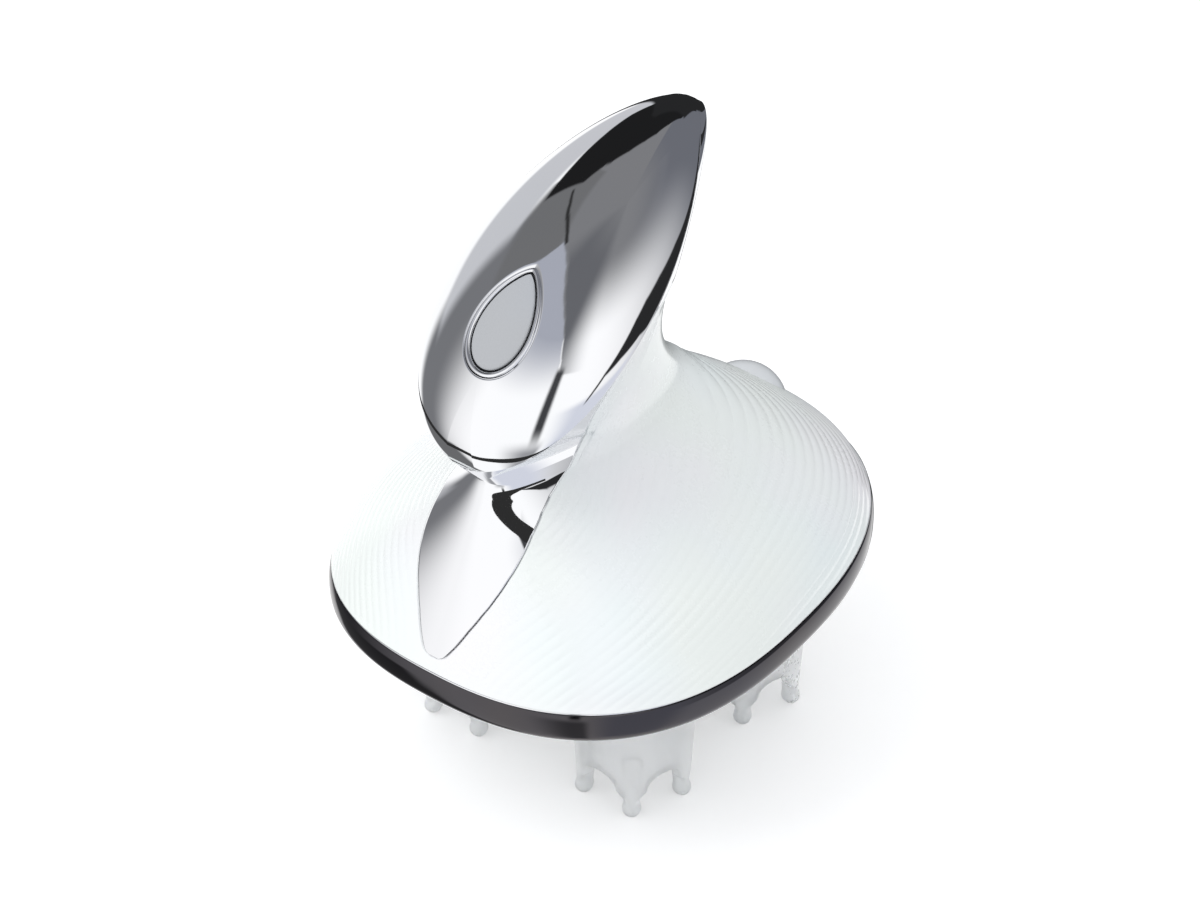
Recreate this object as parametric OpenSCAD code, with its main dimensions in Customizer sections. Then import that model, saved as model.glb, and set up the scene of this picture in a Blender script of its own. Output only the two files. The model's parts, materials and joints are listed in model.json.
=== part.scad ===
// Electric scalp massager: a domed housing with a leaf-shaped handle and four turning soft heads.
// Millimetres. +Z is up, the front is -Y, and Z = 0 is the plane under the fingertips.

/* [Body] */
// Half width of the rim band, left to right
rim_half_w = 52.8; // [50:0.2:58]
// Half depth of the rim band, front to back
rim_half_d = 64.1; // [62:0.1:70]
// Squareness of the rim outline, where 2 is an ellipse
rim_square = 2.4; // [2.2:0.05:2.8]
// How much the rim narrows from its middle to its back, as a share
rim_taper = 0.09; // [0:0.01:0.12]
// Height of the rim band's lower edge above the fingertips
band_z = 40.5; // [38:0.5:46]
// Height of the rim band
band_h = 7.7; // [6.5:0.1:10]
// Thickness of the rim band
band_t = 3.2; // [2.6:0.1:4]
// How far the band stands out past the shell
band_proud = 0.8; // [0.3:0.1:1.5]
// Height of the shell from the band to the neck
shell_h = 39.8; // [38:0.2:46]
// Wall of the upper shell
shell_wall = 2.6; // [2:0.1:3.2]
// Thickness of the front spine's skin
spine_t = 1.4; // [1:0.1:1.8]
// Assembly gap between fixed pieces
gap = 0.15; // [0.1:0.01:0.2]

/* [Handle] */
// Length of the leaf-shaped handle from heel to tip
handle_len = 94.5; // [88:0.5:102]
// Half width of the handle at its widest
handle_half_w = 24.7; // [22:0.1:27]
// Tilt of the handle above level
handle_tilt = 32.5; // [29:0.5:36]
// Bow of the handle's edge above its straight chord
handle_bow = 8.8; // [7:0.1:11]
// Height of the domed face as a share of the handle's half width
dome_share = 0.43; // [0.36:0.01:0.5]
// Distance of the heel in front of the body's centre
heel_out = 50.7; // [47:0.1:53]
// Height of the heel above the neck
heel_rise = 7; // [5:0.5:9]
// Half width of the neck
neck_half_w = 12.4; // [11:0.1:14]
// Depth of the grip behind the handle's edge, at the middle of the handle
grip_depth = 22.5; // [20:0.5:26]
// Distance of the bend behind the neck from the body's centre
bend_back = 24; // [22:0.5:27]
// Wall of the domed face
face_wall = 1.8; // [1.4:0.1:2.2]

/* [Button] */
// Length of the leaf-shaped button opening
button_len = 22.6; // [19:0.2:25]
// Half width of the button opening
button_half_w = 6.4; // [5.4:0.1:7.4]
// Place of the button's centre along the handle
button_at = 28.1; // [26:0.1:31]
// Tilt of the button above the handle's chord
button_lean = 12.5; // [10:0.5:15]
// Width of the bezel's ring
bezel_w = 1.3; // [1:0.1:1.8]
// How far the button travels
button_travel = 0.8; // [0.5:0.1:1]

/* [Gear train] */
// Module of the head gears
gear_m = 1; // [0.9:0.02:1.04]
// Teeth on the drive gear's small wheel
sun_teeth = 24; // [24:1:25]
// Teeth on each head gear
head_teeth = 36; // [34:1:36]
// Module of the motor's gears
motor_m = 0.8; // [0.7:0.02:0.84]
// Teeth on the drive gear's large wheel
wheel_teeth = 42; // [38:1:44]
// Teeth on the motor pinion
pinion_teeth = 12; // [12:1:14]
// Direction of the heads from the centre
head_angle = 42.7; // [41:0.1:44]
// Face width of the head gears
gear_face = 6; // [5:0.5:7]
// Play between meshing teeth
backlash = 0.14; // [0.1:0.01:0.2]

/* [Heads] */
// Radius of each ring of fingers at the tips
finger_ring = 11.4; // [10.5:0.1:12.5]
// Fingers on each head
fingers = 5; // [4:1:6]
// Radius of a fingertip ball
tip_r = 2.2; // [1.9:0.1:2.4]
// Radius of a finger above its tip
finger_r = 1.85; // [1.5:0.05:2]
// Height of the arches between fingers above the tips
arch_z = 11.9; // [11:0.1:13]
// Outer radius of a cup at its lower edge
cup_r = 13.4; // [12.8:0.1:14.2]
// Height of a cup's top above the fingertips
cup_top = 36; // [34:0.2:37]
// Wall of a cup
cup_wall = 3.2; // [2.6:0.1:3.6]
// Radius of a head's spindle
spindle_r = 2.5; // [2:0.1:3]
// Clearance around turning shafts
run_fit = 0.05; // [0.02:0.01:0.09]

/* [Power] */
// Radius of the motor's can
motor_r = 10; // [8:0.5:10.5]
// Length of the motor's can
motor_len = 20; // [17:0.5:21]
// Radius of the battery cell
cell_r = 6.5; // [5.5:0.1:7]
// Length of the battery cell
cell_len = 40; // [34:1:42]
// Radius of the charging pod at the back
pod_r = 10.2; // [9.5:0.1:11]

/* [Hidden] */
$fn = 48;

// Levels, from the band upwards
band_top = band_z + band_h;
neck_z = band_top + shell_h;
lip_h = 3.7;
lip_in = band_t + band_proud;

// ---- Outline of the rim -------------------------------------------------------------------

// Radius factor of a superellipse of squareness n at angle a
function square_r(a, n) = pow(pow(abs(cos(a)), n) + pow(abs(sin(a)), n), -1 / n);

// A point of the rim outline, drawn in by inset
function rim_point(a, inset) =
    let (k = square_r(a, rim_square), across = k * cos(a), along = k * sin(a))
    [(rim_half_w - inset) * across * (1 - rim_taper * along), (rim_half_d - inset) * along];

rim_steps = 72;
function rim_outline(inset) = [for (i = [0:rim_steps - 1]) rim_point(360 * i / rim_steps, inset)];

// ---- The body as a row of sections ---------------------------------------------------------
// A section lies in a plane through [oy, oz] that faces along tilt. It is measured along that
// plane from its back to its front. Its values are
// [oy, oz, tilt, back, front, half width, edge half width, squareness, taper, blend, split, inset]

// Shell sections: [height, half width, front, back, squareness, taper] as shares of the shell.
// The last row only sets the slope at the neck
shell_form = [
    [0.00, 1.000, 1.000, 1.000, 2.40, 1.0],
    [0.17, 0.948, 0.953, 0.929, 2.35, 0.9],
    [0.37, 0.827, 0.894, 0.794, 2.30, 0.7],
    [0.57, 0.654, 0.833, 0.643, 2.20, 0.4],
    [0.77, 0.462, 0.764, 0.484, 2.10, 0.2],
    [0.92, 0.317, 0.717, 0.373, 2.05, 0.0],
    [1.00, 0.250, 0.702, 0.325, 2.05, 0.0],
    [1.08, 0.244, 0.710, 0.300, 2.05, 0.0]];
// Angle from the front at which the spine's skin ends, by height share
spine_split = [[0, 0.6], [0.05, 0.6], [0.06, 1.2], [0.17, 4.7], [0.37, 10.5], [0.57, 19],
    [0.77, 30], [0.86, 36], [0.92, 44], [1, 55]];
// The same along the handle, by share of the part below the bend
handle_split = [[0, 68], [0.45, 76], [0.73, 89], [1, 110], [2, 110]];
edge_flat = 0.4;
shell_half_w = rim_half_w - band_proud;
shell_half_d = rim_half_d - band_proud;

function mix(a, b, t) = a + (b - a) * t;
function spline(p0, p1, p2, p3, t) =
    0.5 * (2 * p1 + (p2 - p0) * t + (2 * p0 - 5 * p1 + 4 * p2 - p3) * t * t
    + (3 * p1 - p0 - 3 * p2 + p3) * t * t * t);
form_last = len(shell_form) - 2;
function form_row(i) =
    i < 0 ? 2 * shell_form[0] - shell_form[1] : shell_form[i];
function form_at(x) =
    let (i = min(floor(x), form_last - 1))
    spline(form_row(i - 1), form_row(i), form_row(i + 1), form_row(i + 2), x - i);

function shell_section(x, inset = 0) =
    let (f = form_at(x))
    [bend_back, band_top + shell_h * f[0], 0,
    bend_back - shell_half_d * f[3], bend_back + shell_half_d * f[2],
    shell_half_w * f[1], edge_flat, f[4], rim_taper * f[5], 1, lookup(f[0], spine_split), inset];

// The handle's edge, in the plane of symmetry: a bowed line over the straight chord
heel = [-heel_out, neck_z + heel_rise];
chord = [cos(handle_tilt), sin(handle_tilt)];
rise = [-sin(handle_tilt), cos(handle_tilt)];
function leaf(u) = pow(u, 0.5) * pow(1 - u, 0.75) / 0.4312;
function bow(u) = pow(u, 0.55) * pow(1 - u, 0.3) / 0.5757;
function edge_half_w(s) = max(edge_flat, handle_half_w * leaf(s / handle_len));
function edge_point(s) = heel + chord * s + rise * handle_bow * bow(s / handle_len);

// The bend behind the neck: sections below it fan out from one point
bend = [bend_back, neck_z];
bend_at = (bend - heel) * chord;
bend_back_r = 4;
bend_full_r = (edge_point(bend_at) - bend) * rise - grip_depth;
function grip_at(s) =
    let (t = (handle_len - s) / (handle_len - bend_at))
    grip_depth * (0.36 * pow(t, 0.8) + 0.64 * t);
function neck_w_at(s) =
    s < bend_at
    ? neck_half_w + 2.8 * pow(s / bend_at, 2.5)
    : (neck_half_w + 2.8) * pow(edge_half_w(s) / edge_half_w(bend_at), 0.6);

function fan_section(s) =
    let (p = edge_point(s), d = p - bend)
    [bend[0], bend[1], atan2(d[1], -d[0]),
    bend_back_r + (bend_full_r - bend_back_r) * pow(s / bend_at, 1.45), norm(d),
    neck_w_at(s), edge_half_w(s), 2.2, 0, 0, lookup(s / bend_at, handle_split), 0];
function upper_section(s) =
    let (o = bend + chord * (s - bend_at), r = (edge_point(s) - o) * rise)
    [o[0], o[1], 90 - handle_tilt, r - grip_at(s), r,
    neck_w_at(s), edge_half_w(s), 2.2, 0, 0, lookup(s / bend_at, handle_split), 0];
function handle_section(s) = s < bend_at ? fan_section(s) : upper_section(s);

// A point of a section's outline at angle a from its front: [out to the side, along the plane]
function section_xr(v, a) =
    let (
        k = square_r(a, v[7]),
        x_round = v[5] * k * sin(a) * (1 + v[8] * k * cos(a)) + v[6] * (1 + cos(a)) / 2,
        q_edge = (1 + cos(a)) / 2,
        pinch = pow(q_edge, 4),
        x_edge = v[5] * pow(max(1 - pow(abs(cos(a)), v[7]), 0), 1 / v[7]) * (1 - pinch) + v[6] * pinch,
        q = mix(q_edge, (1 + k * cos(a)) / 2, v[9])
    )
    [mix(x_edge, x_round, v[9]), v[3] + q * (v[4] - v[3])];

// Small sections, near the handle's tip, are drawn in less
function slim(v) = min(1, (v[4] - v[3]) / 9, v[5] / 6);

// The same point drawn in, square to the outline, and placed on side 1 or -1; near the handle's edge,
// where the outline flares, it stays below the level of the drawn-in corner
function section_point(v, a, side, inset) =
    let (
        d = (inset * slim(v)) + v[11],
        p = section_xr(v, a),
        step = section_xr(v, min(a + 0.5, 180)) - section_xr(v, max(a - 0.5, 0)),
        out = step / norm(step),
        corner = d > 0 ? v[6] - min(1.8 * d + 1.6 * slim(v), v[6] - 0.1) : v[6],
        at_edge = v[9] < 0.5 && a < 1,
        above = v[9] < 0.5 && !at_edge && d > 0 && p[1] - out[0] * d > v[4] - d,
        x = at_edge ? corner : above ? min(p[0] + out[1] * d, corner - 0.1) : p[0] + out[1] * d,
        r = at_edge ? v[4] - d : above ? v[4] - d - 0.002 * a : p[1] - out[0] * d
    )
    [side * (a > 179 ? 0 : max(x, 0.05)), v[0] - r * cos(v[2]), v[1] + r * sin(v[2])];

low_rows = 16;
low_steps = [for (i = [0:low_rows]) form_last * i / low_rows];
handle_steps = [0, 0.02, 0.055, 0.1, 0.155, 0.215, 0.285, 0.36, 0.44, 0.53, 0.62, 0.7, 0.77, 0.835,
    0.89, 0.93, 0.965, 0.985, 0.997];
body_sections = concat(
    [for (x = low_steps) shell_section(x)],
    [for (t = handle_steps) handle_section(t * handle_len)]);

// ---- Meshes --------------------------------------------------------------------------------

// Faces of a grid of points with the given rows and columns, closed across its columns if round;
// cross cuts each cell along its other diagonal
function grid_faces(rows, cols, round, start, flip, cross = false) =
    [for (i = [0:rows - 2]) for (j = [0:cols - (round ? 1 : 2)])
        let (
            a = start + i * cols + j,
            b = start + i * cols + (j + 1) % cols,
            c = b + cols,
            d = a + cols
        )
        each cross
            ? (flip ? [[a, b, d], [b, c, d]] : [[a, d, b], [b, d, c]])
            : (flip ? [[a, b, c], [a, c, d]] : [[a, c, b], [a, d, c]])];

// A closed skin between two grids of the same size
module skin(outer, inner, cross = false) {
    rows = len(outer);
    cols = len(outer[0]);
    n = rows * cols;
    points = concat([for (r = outer) each r], [for (r = inner) each r]);
    left = [for (i = [0:rows - 2])
        let (a = i * cols, b = a + cols)
        each [[a, b, b + n], [a, b + n, a + n]]];
    right = [for (i = [0:rows - 2])
        let (a = i * cols + cols - 1, b = a + cols)
        each [[b, a, b + n], [a, a + n, b + n]]];
    first = [for (j = [0:cols - 2]) each [[j + 1, j, j + n], [j + 1, j + n, j + 1 + n]]];
    top = (rows - 1) * cols;
    last = [for (j = [0:cols - 2])
        let (a = top + j, b = top + j + 1)
        each [[a, b, a + n], [b, b + n, a + n]]];
    polyhedron(points, concat(
        grid_faces(rows, cols, false, 0, true, cross),
        grid_faces(rows, cols, false, n, false, cross),
        left, right, first, last));
}

// A closed tube between an outer and a shorter inner stack of rings
module ring_stack(outer, inner) {
    cols = len(outer[0]);
    rows_out = len(outer);
    rows_in = len(inner);
    n = rows_out * cols;
    points = concat([for (r = outer) each r], [for (r = inner) each r]);
    rim = [for (j = [0:cols - 1])
        let (k = (j + 1) % cols)
        each [[k, j, j + n], [k, j + n, k + n]]];
    cap_out = [for (j = [1:cols - 2]) let (a = (rows_out - 1) * cols) [a, a + j, a + j + 1]];
    cap_in = [for (j = [1:cols - 2]) let (a = n + (rows_in - 1) * cols) [a, a + j + 1, a + j]];
    polyhedron(points, concat(
        grid_faces(rows_out, cols, true, 0, true),
        grid_faces(rows_in, cols, true, n, false),
        rim, cap_out, cap_in));
}

// ---- Housing -------------------------------------------------------------------------------

side_cols = 4;
back_cols = 14;
// Angles round one side of a section: under the skin, then the bare shell
function side_angles(split) = concat(
    [for (i = [0:side_cols]) [split * i / side_cols, 1]],
    [for (i = [0:back_cols]) [split + 0.3 + (180 - split - 0.3) * i / back_cols, 0]]);
function body_ring(v, wall) =
    let (
        angles = side_angles(v[10]),
        sunk = v[10] > 1 ? spine_t + gap : 0,
        right = [for (p = angles) section_point(v, p[0], 1, wall + sunk * p[1])],
        left = [for (i = [len(angles) - 2:-1:0])
            section_point(v, angles[i][0], -1, wall + sunk * angles[i][1])]
    )
    concat(right, left);

// The lip under the rim reaches down inside the band
lip_sections = [for (drop = [lip_h, 0.02])
    let (v = shell_section(0))
    [v[0], band_top - drop, 0, v[3], v[4], v[5], v[6], v[7], v[8], 1, v[10], band_t + gap]];
hollow_rows = len(low_steps) + 14;

pod_at = [0, 0.743 * rim_half_d, band_top + 0.716 * pod_r];

module upper_shell() {
    outer = concat(lip_sections, body_sections);
    inner = concat(lip_sections, [for (i = [0:hollow_rows - 1]) body_sections[i]]);
    color("whitesmoke")
    difference() {
        ring_stack([for (v = outer) body_ring(v, 0)], [for (v = inner) body_ring(v, shell_wall)]);
        translate(pod_at)
            sphere(pod_r + gap);
    }
}

spine_first = 1;
function spine_row(v, inset) =
    let (angles = [for (i = [0:side_cols]) i < side_cols ? v[10] * i / side_cols : max(v[10] - 0.3, 0.3)])
    concat(
        [for (i = [side_cols:-1:0]) section_point(v, angles[i], 1, inset)],
        [for (i = [0:side_cols]) section_point(v, angles[i], -1, inset)]);

module front_spine() {
    rows = [for (i = [spine_first:len(body_sections) - 1]) body_sections[i]];
    color("silver")
    skin([for (v = rows) spine_row(v, 0)], [for (v = rows) spine_row(v, spine_t)], true);
}

face_steps = [0.012, 0.03, 0.06, 0.1, 0.155, 0.215, 0.285, 0.36, 0.44, 0.53, 0.62, 0.7, 0.77, 0.835,
    0.89, 0.93, 0.965, 0.985];
face_cols = 8;
function face_point(s, v, inset) =
    let (
        w = max(edge_half_w(s) - inset, 0.15),
        h = max(dome_share * w * pow(1 - pow(abs(v), 2.2), 0.85), 0),
        p = edge_point(s) + rise * (h + gap)
    )
    [w * v, p[0], p[1]];
function face_row(t, inset) =
    let (s = t * handle_len)
    [for (j = [-face_cols:face_cols]) face_point(s, sin(90 * j / face_cols), inset)];

// The button's frame: its centre on the face, and its tilt
button_tilt = handle_tilt + button_lean;
button_top = let (p = edge_point(button_at) + rise * (gap + dome_share * edge_half_w(button_at)))
    [0, p[0], p[1]];
module at_button() {
    translate(button_top)
        rotate([button_tilt, 0, 0])
            children();
}

// A leaf outline of the given length and half width, about the middle of its length
leaf_steps = 28;
function leaf_outline(length, half_w) =
    let (pts = [for (i = [0:leaf_steps])
        let (u = (1 - cos(180 * i / leaf_steps)) / 2)
        [half_w * leaf(min(max(u, 0), 1)), length * (u - 0.5)]])
    concat(pts, [for (i = [leaf_steps - 1:-1:1]) [-pts[i][0], pts[i][1]]]);
module leaf_prism(grow, low, high) {
    translate([0, 0, low])
        linear_extrude(high - low)
            polygon(leaf_outline(button_len + 2 * grow, button_half_w + grow));
}

bezel_low = -2.2;
bezel_high = 0.35;
module handle_face() {
    color("silver")
    difference() {
        skin([for (t = face_steps) face_row(t, 0)], [for (t = face_steps) face_row(t, face_wall)]);
        at_button()
            leaf_prism(bezel_w + gap, -8, 4);
    }
}

module button_bezel() {
    color("gainsboro")
    at_button()
        difference() {
            leaf_prism(bezel_w, bezel_low, bezel_high);
            leaf_prism(0, bezel_low - 1, bezel_high + 1);
        }
}

cap_clear = 0.3;
cap_low = -1.2;
cap_high = 0.05;
stem_r = 2;
switch_top = -button_travel - 4;
module button_cap() {
    color("lightgray")
    at_button() {
        leaf_prism(-cap_clear, cap_low, cap_high);
        translate([0, 0, switch_top + button_travel + 0.3])
            cylinder(h = cap_low - switch_top - button_travel - 0.2, r = stem_r);
    }
}

module button_seal() {
    color("dimgray")
    at_button()
        difference() {
            leaf_prism(0.6, bezel_low - 1, bezel_low - 0.05);
            leaf_prism(-1, bezel_low - 2, bezel_low + 1);
        }
}

switch_h = 1.8;
board_t = 1.2;
module tact_switch() {
    color("black")
    at_button()
        translate([0, 0, switch_top - switch_h]) {
            translate([-3, -3, 0])
                cube([6, 6, switch_h - 0.4]);
            cylinder(h = switch_h, r = 1.6);
        }
}

// Level of the spine's deck under the button, in the button's frame
deck_under = (edge_point(button_at) - [button_top[1], button_top[2]])
    * [-sin(button_tilt), cos(button_tilt)] + 0.1;
module switch_board() {
    board_low = switch_top - switch_h - board_t;
    color("darkgreen")
    at_button() {
        translate([-7, -6, board_low])
            cube([14, 12, board_t - 0.02]);
        translate([0, 0, deck_under])
            cylinder(h = board_low - deck_under + 0.1, r = 2.5, $fn = 32);
    }
}

// ---- Rim and base ---------------------------------------------------------------------------

// The band's cross-section: [share of its height, how far it is drawn in from the rim]
band_profile = [[0, 1.1], [0.08, 0.45], [0.2, 0.1], [0.4, 0], [0.65, 0.05], [0.85, 0.3], [0.94, 0.6], [1, 1.1]];
band_cols = [for (p = band_profile) [band_z + p[0] * (band_h - 0.05), p[1]]];
module base_band() {
    n = len(band_cols);
    loop = concat(band_cols, [[band_top - 0.05, band_t], [band_z, band_t]]);
    m = len(loop);
    points = [for (c = loop) for (i = [0:rim_steps - 1])
        let (p = rim_point(360 * i / rim_steps, c[1]))
        [p[0], p[1], c[0]]];
    faces = [for (j = [0:m - 1]) for (i = [0:rim_steps - 1])
        let (
            k = (i + 1) % rim_steps,
            j2 = (j + 1) % m,
            a = j * rim_steps + i,
            b = j * rim_steps + k,
            c = j2 * rim_steps + k,
            d = j2 * rim_steps + i
        )
        each [[a, c, b], [a, d, c]]];
    color("darkslategray")
    polyhedron(points, faces);
}

plate_t = 2.5;
plate_drop = 1;
plate_z = band_z - plate_drop;
plate_top = plate_z + plate_t;
plate_in = band_t + 0.3;
module base_gasket() {
    color("dimgray")
    translate([0, 0, plate_top + 0.02])
        linear_extrude(band_top - lip_h - plate_top - 0.04)
            difference() {
                polygon(rim_outline(plate_in + 0.6));
                polygon(rim_outline(plate_in + 2.2));
            }
}

// Heads stand on the pitch circle that the meshing gears give
head_out = gear_m * (sun_teeth + head_teeth) / 2;
head_xy = [for (q = [head_angle, 180 - head_angle, 180 + head_angle, -head_angle])
    head_out * [cos(q), sin(q)]];
bush_r = 4.5;
bush_up = 4.5;
seal_r = 5.5;
seal_h = 2.2;
seal_up = 0.8;
post_r = 3;
post_out = rim_half_w - 16.8;
post_xy = [[0, head_out + 1], [0, -head_out - 6], [post_out, 0], [-post_out, 0]];
screw_r = 1.1;
boss_r = 3.4;
// The screw ring lies against the inside of the shell's lip, and its outline is drawn in from the shell's
ring_in = band_t + gap + shell_wall + 0.5;
ring_t = 2;
function ring_point(a, side, inset) =
    let (p = section_point(shell_section(0), a, side, inset))
    [p[0], p[1]];
function ring_outline(inset) = concat(
    [for (a = [0:5:180]) ring_point(a, 1, inset)],
    [for (a = [175:-5:5]) ring_point(a, -1, inset)]);
screw_xy = [for (q = [[148, 1], [148, -1], [32, -1], [32, 1]]) ring_point(q[0], q[1], ring_in + boss_r)];
gear_z = plate_top + 5.5;
wheel_z = gear_z + gear_face + 1.6;
wheel_face = 4;
deck_z = wheel_z + wheel_face + 1.5;
deck_t = 2.5;
axle_r = 2;
axle_boss_r = 5;

module base_plate() {
    color("whitesmoke")
    difference() {
        union() {
            translate([0, 0, plate_z])
                linear_extrude(plate_t)
                    polygon(rim_outline(plate_in));
            for (p = post_xy)
                translate([p[0], p[1], plate_top - 0.5])
                    cylinder(h = deck_z - plate_top + 0.5, r = post_r);
            translate([0, 0, plate_top - 0.5])
                cylinder(h = gear_z - plate_top - 0.2, r = axle_boss_r);
        }
        for (p = head_xy)
            translate([p[0], p[1], plate_z - 1]) {
                cylinder(h = plate_t + 2, r = bush_r + 0.02);
                cylinder(h = 1 + seal_h - seal_up, r = seal_r + 0.02);
            }
        for (p = post_xy)
            translate([p[0], p[1], deck_z - 8])
                cylinder(h = 9, r = screw_r, $fn = 24);
        for (p = screw_xy)
            translate([p[0], p[1], plate_z - 1])
                cylinder(h = plate_t + 2, r = screw_r + 0.4, $fn = 24);
        translate([0, 0, plate_z + 1])
            cylinder(h = gear_z, r = axle_r + 0.02);
    }
}

module screw_ring() {
    color("lightgray")
    difference() {
        union() {
            translate([0, 0, band_top - lip_h])
                linear_extrude(min(lip_h, gear_z - 0.4 - band_top + lip_h))
                    difference() {
                        polygon(ring_outline(ring_in));
                        polygon(ring_outline(ring_in + ring_t));
                    }
            for (p = screw_xy)
                translate([p[0], p[1], plate_top + 0.05])
                    cylinder(h = band_top + 2 - plate_top, r = boss_r);
        }
        for (p = screw_xy)
            translate([p[0], p[1], plate_top - 1])
                cylinder(h = band_top - plate_top + 1.5, r = screw_r + 0.02, $fn = 24);
    }
}

module base_screws() {
    color("silver")
    for (p = screw_xy)
        translate([p[0], p[1], plate_z - 0.6]) {
            cylinder(h = 0.6 - 0.02, r = 2.4, $fn = 32);
            cylinder(h = 9, r = screw_r, $fn = 24);
        }
}

module plate_screws() {
    color("silver")
    for (p = post_xy)
        translate([p[0], p[1], deck_z]) {
            translate([0, 0, deck_t + 0.02])
                cylinder(h = 1.3, r = 2.2, $fn = 32);
            translate([0, 0, -6])
                cylinder(h = deck_t + 6.2, r = screw_r - 0.05, $fn = 24);
        }
}

module spindle_bush(i) {
    p = head_xy[i];
    color("goldenrod")
    translate([p[0], p[1], plate_z + seal_h - seal_up + 0.02])
        difference() {
            cylinder(h = gear_z - 0.4 - plate_z - seal_h + seal_up, r = bush_r);
            translate([0, 0, -1])
                cylinder(h = 20, r = spindle_r + run_fit);
        }
}

module shaft_seal(i) {
    p = head_xy[i];
    color("dimgray")
    translate([p[0], p[1], plate_z - seal_up])
        difference() {
            cylinder(h = seal_h, r = seal_r);
            translate([0, 0, -1])
                cylinder(h = 20, r = spindle_r + 0.09);
        }
}

// ---- Gears ------------------------------------------------------------------------------------

pressure = 25;
// Involute polar angle at radius r for base radius rb, in degrees
function involute(r, rb) = sqrt(max(r * r / (rb * rb) - 1, 0)) * 180 / PI - acos(min(rb / r, 1));
flank_steps = 4;
function tooth(m, z) =
    let (
        pitch_r = m * z / 2,
        base_r = pitch_r * cos(pressure),
        root_r = pitch_r - 1.2 * m,
        tip_radius = pitch_r + 0.9 * m,
        low_r = max(base_r, root_r),
        half = 90 / z - backlash / pitch_r * 45 / PI + involute(pitch_r, base_r),
        flank = [for (i = [0:flank_steps])
            let (r = mix(low_r, tip_radius, i / flank_steps))
            [r, half - involute(r, base_r)]]
    )
    concat([[root_r, -flank[0][1]]], [for (f = flank) [f[0], -f[1]]],
        [for (i = [flank_steps:-1:0]) flank[i]], [[root_r, flank[0][1]]]);
function gear_outline(m, z) =
    let (t = tooth(m, z))
    [for (k = [0:z - 1]) for (p = t) p[0] * [cos(p[1] + 360 * k / z), sin(p[1] + 360 * k / z)]];
module gear(m, z, h) {
    linear_extrude(h)
        polygon(gear_outline(m, z));
}
// Turn that meshes a gear of z2 teeth, seen at angle q, with one of z1 teeth at the centre
function mesh_turn(q, z1, z2) = q + 180 + q * z1 / z2 - 180 / z2;

motor_out = motor_m * (wheel_teeth + pinion_teeth) / 2;
motor_angle = -90;
motor_xy = motor_out * [cos(motor_angle), sin(motor_angle)];
shaft_r = 1;

module drive_gear() {
    color("ivory")
    difference() {
        union() {
            translate([0, 0, gear_z])
                gear(gear_m, sun_teeth, gear_face + 0.8);
            translate([0, 0, gear_z + gear_face + 0.7])
                cylinder(h = wheel_z - gear_z - gear_face - 0.6, r = 8);
            translate([0, 0, wheel_z])
                gear(motor_m, wheel_teeth, wheel_face);
        }
        translate([0, 0, gear_z - 1])
            cylinder(h = 30, r = axle_r + run_fit);
    }
}

module drive_axle() {
    color("silver")
    translate([0, 0, plate_z + 1])
        cylinder(h = deck_z + deck_t - plate_z - 1.2, r = axle_r);
}

module motor_pinion() {
    color("goldenrod")
    translate([motor_xy[0], motor_xy[1], wheel_z - 0.3])
        rotate(mesh_turn(motor_angle, wheel_teeth, pinion_teeth))
            difference() {
                gear(motor_m, pinion_teeth, wheel_face + 0.6);
                translate([0, 0, 1])
                    cylinder(h = 10, r = shaft_r + 0.02, $fn = 24);
            }
}

module head_gear(i) {
    p = head_xy[i];
    q = [head_angle, 180 - head_angle, 180 + head_angle, 360 - head_angle][i];
    color("ivory")
    translate([p[0], p[1], gear_z])
        rotate(mesh_turn(q, sun_teeth, head_teeth))
            difference() {
                union() {
                    gear(gear_m, head_teeth, gear_face);
                    translate([0, 0, gear_face - 0.1])
                        cylinder(h = 2.1, r = 5);
                }
                translate([0, 0, -1])
                    cylinder(h = 20, r = spindle_r + 0.02);
            }
}

// The plate keeps clear of the shell at its sides and of the pod at its back
deck_half_w = rim_half_w - 14.8;
deck_back = pod_at[1] - pod_r - 0.2;
deck_front = head_out + 11;
module gear_plate() {
    color("lightgray")
    difference() {
        translate([0, 0, deck_z + 0.02])
            linear_extrude(deck_t - 0.02)
                polygon([for (i = [0:47])
                    let (k = square_r(7.5 * i, 2.5))
                    [deck_half_w * k * cos(7.5 * i), (i < 24 ? deck_back : deck_front) * k * sin(7.5 * i)]]);
        for (p = head_xy)
            translate([p[0], p[1], deck_z - 1])
                cylinder(h = deck_t + 2, r = spindle_r + run_fit);
        translate([0, 0, deck_z - 1])
            cylinder(h = deck_t + 2, r = axle_r + 0.02);
        for (p = post_xy)
            translate([p[0], p[1], deck_z - 1])
                cylinder(h = deck_t + 2, r = screw_r + 0.2, $fn = 24);
        translate([motor_xy[0], motor_xy[1], deck_z - 1])
            cylinder(h = deck_t + 2, r = 3.2);
    }
}

// ---- Motor and power ------------------------------------------------------------------------------

motor_z = deck_z + deck_t + 0.05;
module motor() {
    color("silver")
    translate([motor_xy[0], motor_xy[1], motor_z]) {
        difference() {
            cylinder(h = motor_len, r = motor_r);
            translate([0, 0, -1])
                cylinder(h = 4, r = shaft_r + 0.1, $fn = 24);
        }
        translate([0, 0, motor_len - 0.1])
            cylinder(h = 1.6, r = 3.5);
        translate([0, 0, -deck_t + 0.3])
            difference() {
                cylinder(h = deck_t - 0.2, r = 3);
                translate([0, 0, -1])
                    cylinder(h = 5, r = shaft_r + 0.1, $fn = 24);
            }
    }
}

module motor_shaft() {
    color("silver")
    translate([motor_xy[0], motor_xy[1], wheel_z + 0.75])
        cylinder(h = motor_z - wheel_z + 2.2, r = shaft_r, $fn = 24);
}

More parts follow.
